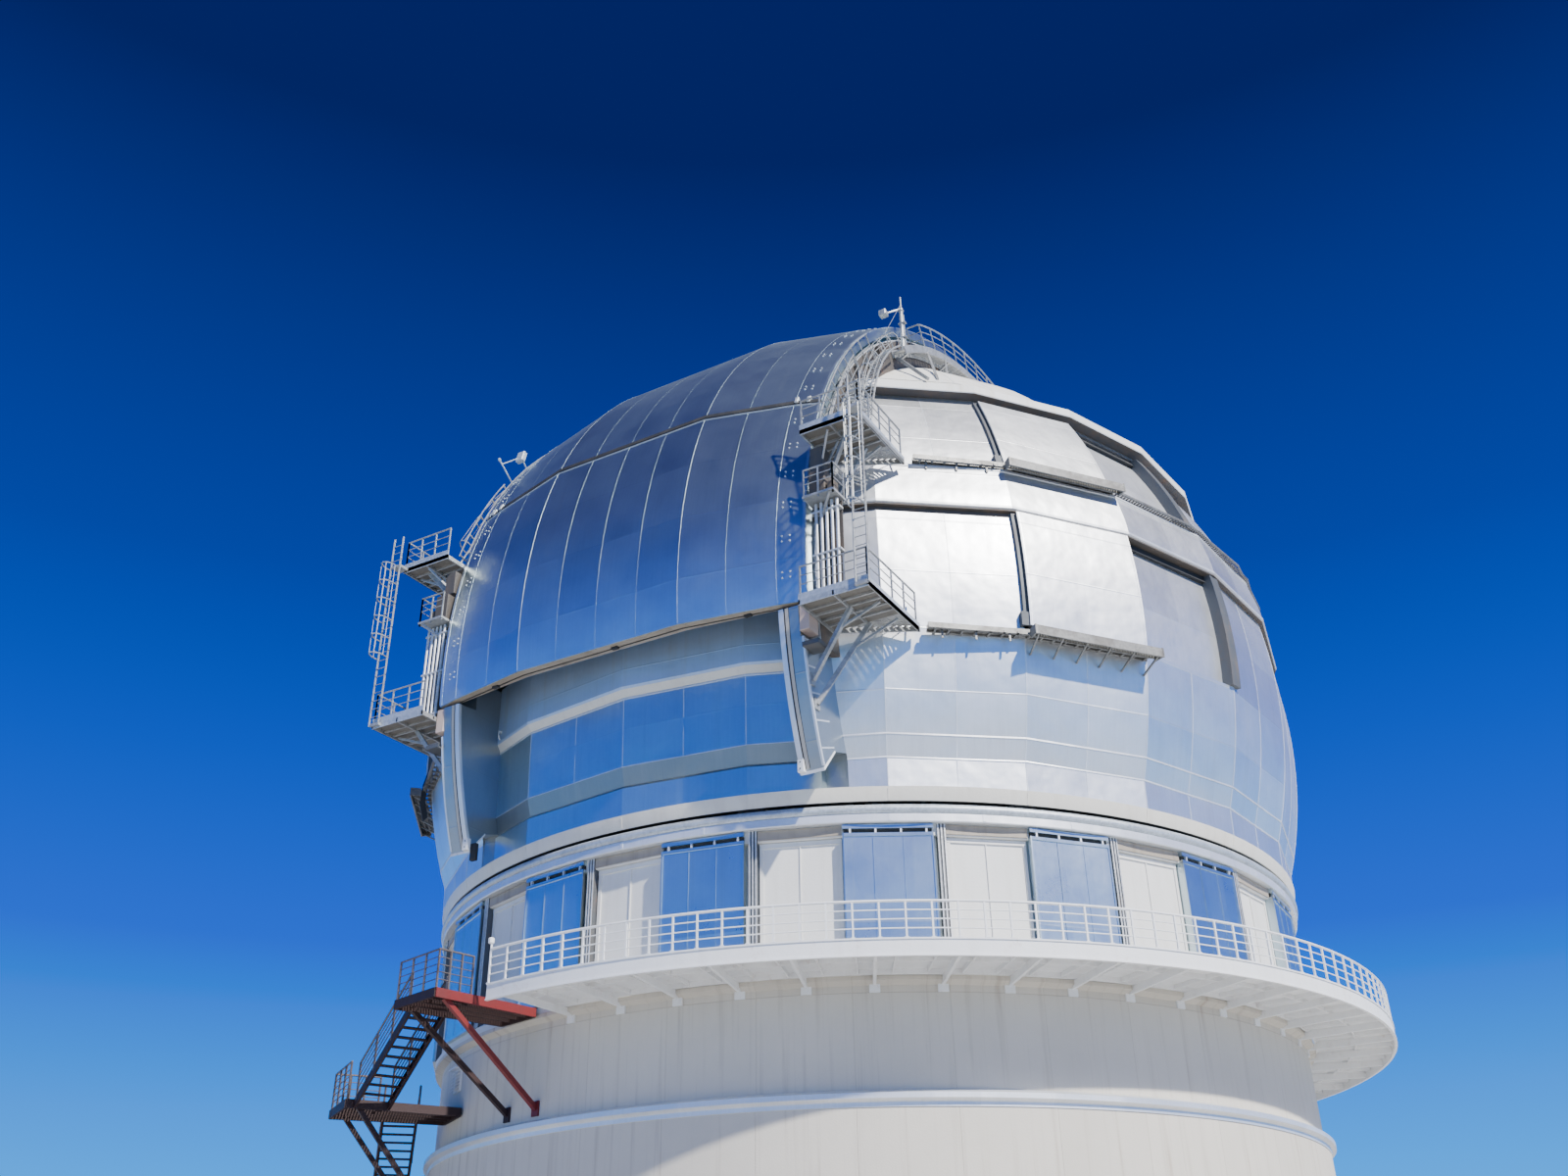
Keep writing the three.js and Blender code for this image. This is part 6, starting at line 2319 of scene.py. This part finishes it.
@dataclass
class CrownGallery(SubAssembly):
    """The stepped galleries that pass over the crown, the mast and the lamp of the left ladder."""

    near: float = ARCH_X[1] + 0.01
    far: float = 7.8
    rho: float = 15.95
    span: Point = (51.2, 120.0)
    rail_from: float = 60.0
    treads: int = 64
    lamp_x: float = -8.25
    arm_beta: float = 36.8
    lamp_beta: float = 42.0
    braces: tuple[float, ...] = (54, 70, 90, 110, 118)
    bars: tuple[Point, ...] = ((1.0, 0.036), (0.7, 0.02), (0.4, 0.02))

    def build(self) -> None:
        """Makes the meshes."""
        walk = self.piece("crown_galleries")
        (low, high), near, far, rho = self.span, self.near, self.far, self.rho
        for x in (near + 0.02, far - 0.03):
            walk.arch(rectangle(x - 0.02, x + 0.02, rho - 0.2, rho + 0.1), self.span, copies=BOTH)
        middle, wide = (near + far) / 2, far - near - 0.08
        for beta in spread(low + 0.5, high - 0.5, self.treads):
            tilt = Matrix.Rotation(math.radians(beta - 90) * 0.6, 4, "X")
            walk.box((wide, 0.2, 0.03), mirrored(at_beta(beta, middle, rho - 0.03) @ tilt))
        self._railing(walk)
        for beta in self.braces:
            start, end = over(far - 0.1, rho - 0.1, beta), over(near, rho - 0.32, beta)
            walk.bar(start, end, 0.07, 0.09, copies=BOTH)
        for x, beta, foot, width in (
            (far - 0.03, 60.5, (8.9, -9.7, 34.2), 0.08), (far - 0.03, 68, (8.7, -8.2, 35.2), 0.06),
            (near, 52.5, (8.75, -10.3, 33.9), 0.12),
        ):
            walk.bar(over(x, rho - 0.15, beta), Vector(foot), width, width, copies=BOTH)
        self._mast()
        self._left_lamp()

    def _railing(self, walk: Workpiece) -> None:
        """The rail along the outer edge and its turn across the front."""
        x, turn, start, end = self.far - 0.03, self.near + 0.05, self.rail_from, self.span[1] - 0.3
        for height, radius in self.bars:
            section = round_section(x, self.rho + height, radius)
            walk.arch(section, (start, end), 2.2, copies=BOTH)
            ends = [over(place, self.rho + height, start) for place in (turn, x)]
            walk.rod(*ends, radius, copies=BOTH)
        for beta in spread(start, end, 15):
            walk.box((0.045, 0.045, 1.16), mirrored(at_beta(beta, x, self.rho + 0.43)))
        walk.box((0.045, 0.045, 1.04), mirrored(at_beta(start, turn, self.rho + 0.5)))

    def _mast(self) -> None:
        """The mast on the right gallery: tapered pole, conduit, stays, lamp and camera box."""
        foot = over(7.5, 15.92, 53.5)
        mast = self.piece("mast")

        def at(dx: float, dy: float, z: float) -> Vector:
            """A point beside the mast."""
            return Vector((foot.x + dx, foot.y + dy, z))

        mast.rod(foot, at(0, 0, 38.2), 0.085, 12)
        mast.rod(at(0, 0, 38.2), at(0, 0, 38.93), 0.05, 10, tip=0.03)
        mast.rod(at(0.1, 0, foot.z), at(0.1, 0, 38.0), 0.025, 6)
        mast.box((0.2, 0.2, 0.12), [Matrix.Translation(at(0, 0, 38.25))], 0.03)
        for z in (36.9, 37.6):
            mast.box((0.3, 0.16, 0.05), [Matrix.Translation(at(0.03, 0, z))])
        mast.bar(at(0, 0, 38.35), at(-0.5, -0.5, 37.95), 0.05, 0.05)
        mast.block(at(-0.65, -0.7, 37.8), at(-0.35, -0.4, 38.05), bevel=0.02)
        mast.rod(at(0, 0, 38.55), over(7.3, 16.72, 50.4), 0.012, 5)
        mast.rod(at(0, 0, 38.45), over(7.25, 16.05, 58), 0.012, 5)

    def _left_lamp(self) -> None:
        """The lamp box on its arm beside the left ladder."""
        lamp, x, post = self.piece("left_lamp"), self.lamp_x, self.lamp_x + 0.1
        arm, beta = self.arm_beta, self.lamp_beta
        lamp.rod(over(post, 16.1, arm), over(post, 17.7, arm), 0.032, 8)
        lamp.box((0.1, 0.1, 0.14), [at_beta(arm, post, 17.7)], 0.02)
        lamp.rod(over(post, 17.5, arm), over(x, 17.3, beta - 1), 0.028, 6)
        lamp.rod(over(x, 16.2, beta), over(x, 17.2, beta), 0.032, 8)
        lamp.rod(over(-7.9, 16.1, beta), over(x, 16.2, beta), 0.032, 8)
        tilt = Matrix.Rotation(0.5, 4, "X")
        lamp.box((0.36, 0.52, 0.22), [at_beta(beta, x, 17.25) @ tilt], 0.03)

    def dress(self) -> None:
        """Gives each mesh its finish and its body."""
        self.place(Body.DOME, pair("crown_walk"), crown_galleries=TOWER_STEEL)
        self.place(Body.DOME, ["crown_walk_right"], mast=TOWER_STEEL)
        self.place(Body.DOME, left_lamp=KICK_PLATE)


@dataclass
class Floors(SubAssembly):
    """The two floors, whose solids stay and get a screed finish."""

    nodes: tuple[str, ...] = ("ground_floor", "observing_floor")

    def build(self) -> None:
        """Makes nothing: the solids are right."""

    def dress(self) -> None:
        """Gives the solids their finish."""
        for name in self.nodes:
            solid = bpy.data.objects[name]
            solid.data.materials.clear()
            solid.data.materials.append(SCREED.material())


# The studio

@dataclass
class Studio:
    """Camera, light, backdrop and floor, in metres of the model."""

    camera_at: tuple[float, float, float] = (12.454, -24.6228, 0.8)
    azimuth: float = 29.852
    pitch: float = 29.4404
    roll: float = -0.858
    lens: float = 32.84
    sensor: float = 36.0
    clip: Point = (0.1, 500.0)
    sun_azimuth: float = 70.0
    sun_height: float = 42.0
    sun_strength: float = 8.5
    sun_width: float = 1.5
    sun_colour: Colour = (1.0, 0.97, 0.92)
    sky_strength: float = 1.6
    floor_radius: float = 90.0
    floor_height: float = -0.002
    sky: tuple[tuple[float, Colour], ...] = (
        (0.0, (0.05, 0.42, 0.98)), (0.12, (0.01, 0.28, 0.90)), (0.26, (0.0, 0.075, 0.60)),
        (0.485, (0.0, 0.028, 0.27)), (0.72, (0.0, 0.007, 0.09)),
    )

    def build(self) -> None:
        """Makes camera, light, backdrop and floor."""
        self._camera()
        self._sun()
        self._sky()
        self._floor()

    def _camera(self) -> None:
        """The camera at the photograph's angle."""
        azimuth, pitch, roll = (math.radians(a) for a in (self.azimuth, self.pitch, self.roll))
        level = Vector((math.cos(azimuth), math.sin(azimuth), 0))
        ahead = Vector((-math.sin(azimuth), math.cos(azimuth), 0))
        forward = ahead * math.cos(pitch) + Z_AXIS * math.sin(pitch)
        rise = level.cross(forward)
        right = level * math.cos(roll) + rise * math.sin(roll)
        up = rise * math.cos(roll) - level * math.sin(roll)
        data = bpy.data.cameras.new("camera")
        data.lens = self.lens
        data.sensor_width = self.sensor
        data.clip_start, data.clip_end = self.clip
        camera = bpy.data.objects.new("camera", data)
        turn = Matrix((right, up, -forward)).transposed().to_4x4()
        camera.matrix_world = Matrix.Translation(self.camera_at) @ turn
        bpy.context.scene.collection.objects.link(camera)
        bpy.context.scene.camera = camera

    def _sun(self) -> None:
        """One soft key light from the right."""
        data = bpy.data.lights.new("key", "SUN")
        data.energy = self.sun_strength
        data.angle = math.radians(self.sun_width)
        data.color = self.sun_colour
        key = bpy.data.objects.new("key", data)
        height = math.radians(self.sun_height)
        towards = polar(math.cos(height), self.sun_azimuth, math.sin(height))
        key.rotation_euler = towards.to_track_quat("Z", "Y").to_euler()
        bpy.context.scene.collection.objects.link(key)

    def _sky(self) -> None:
        """A plain clear backdrop, paler towards the horizon."""
        world = bpy.data.worlds.new("backdrop")
        world.use_nodes = True
        tree = world.node_tree
        tree.nodes.clear()
        coordinates = tree.nodes.new("ShaderNodeTexCoord")
        split = tree.nodes.new("ShaderNodeSeparateXYZ")
        ramp = tree.nodes.new("ShaderNodeValToRGB")
        background = tree.nodes.new("ShaderNodeBackground")
        output = tree.nodes.new("ShaderNodeOutputWorld")
        stops = ramp.color_ramp.elements
        stops.remove(stops[1])
        for k, (position, colour) in enumerate(self.sky):
            stop = stops.new(position) if k else stops[0]
            stop.position, stop.color = position, (*colour, 1.0)
        background.inputs["Strength"].default_value = self.sky_strength
        tree.links.new(coordinates.outputs["Generated"], split.inputs[0])
        tree.links.new(split.outputs[2], ramp.inputs[0])
        tree.links.new(ramp.outputs[0], background.inputs[0])
        tree.links.new(background.outputs[0], output.inputs[0])
        bpy.context.scene.world = world

    def _floor(self) -> None:
        """The plain pale floor."""
        bit = bmesh.new()
        bmesh.ops.create_circle(bit, cap_ends=True, segments=64, radius=self.floor_radius)
        bmesh.ops.translate(bit, vec=Z_AXIS * self.floor_height, verts=bit.verts[:])
        mesh = bpy.data.meshes.new("studio_floor")
        bit.to_mesh(mesh)
        bit.free()
        mesh.materials.append(PALE_FLOOR.material())
        floor = bpy.data.objects.new("studio_floor", mesh)
        bpy.context.scene.collection.objects.link(floor)


def main() -> None:
    """Builds and dresses the observatory, one sub-assembly after the other."""
    logging.basicConfig(level=logging.INFO, format="%(message)s")
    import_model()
    Studio().build()
    for assembly in (
        Drum(), VentStorey(), RailRing(), Gallery(), OutsideStair(), Floors(), SkirtRing(),
        DomeShell(), Crown(), ArchGirders(), SlitWalls(), Shutter(), PanelTracks(),
        AccessTowers(), CrownGallery(),
    ):
        assembly.build()
        assembly.dress()


if __name__ == "__main__":
    main()
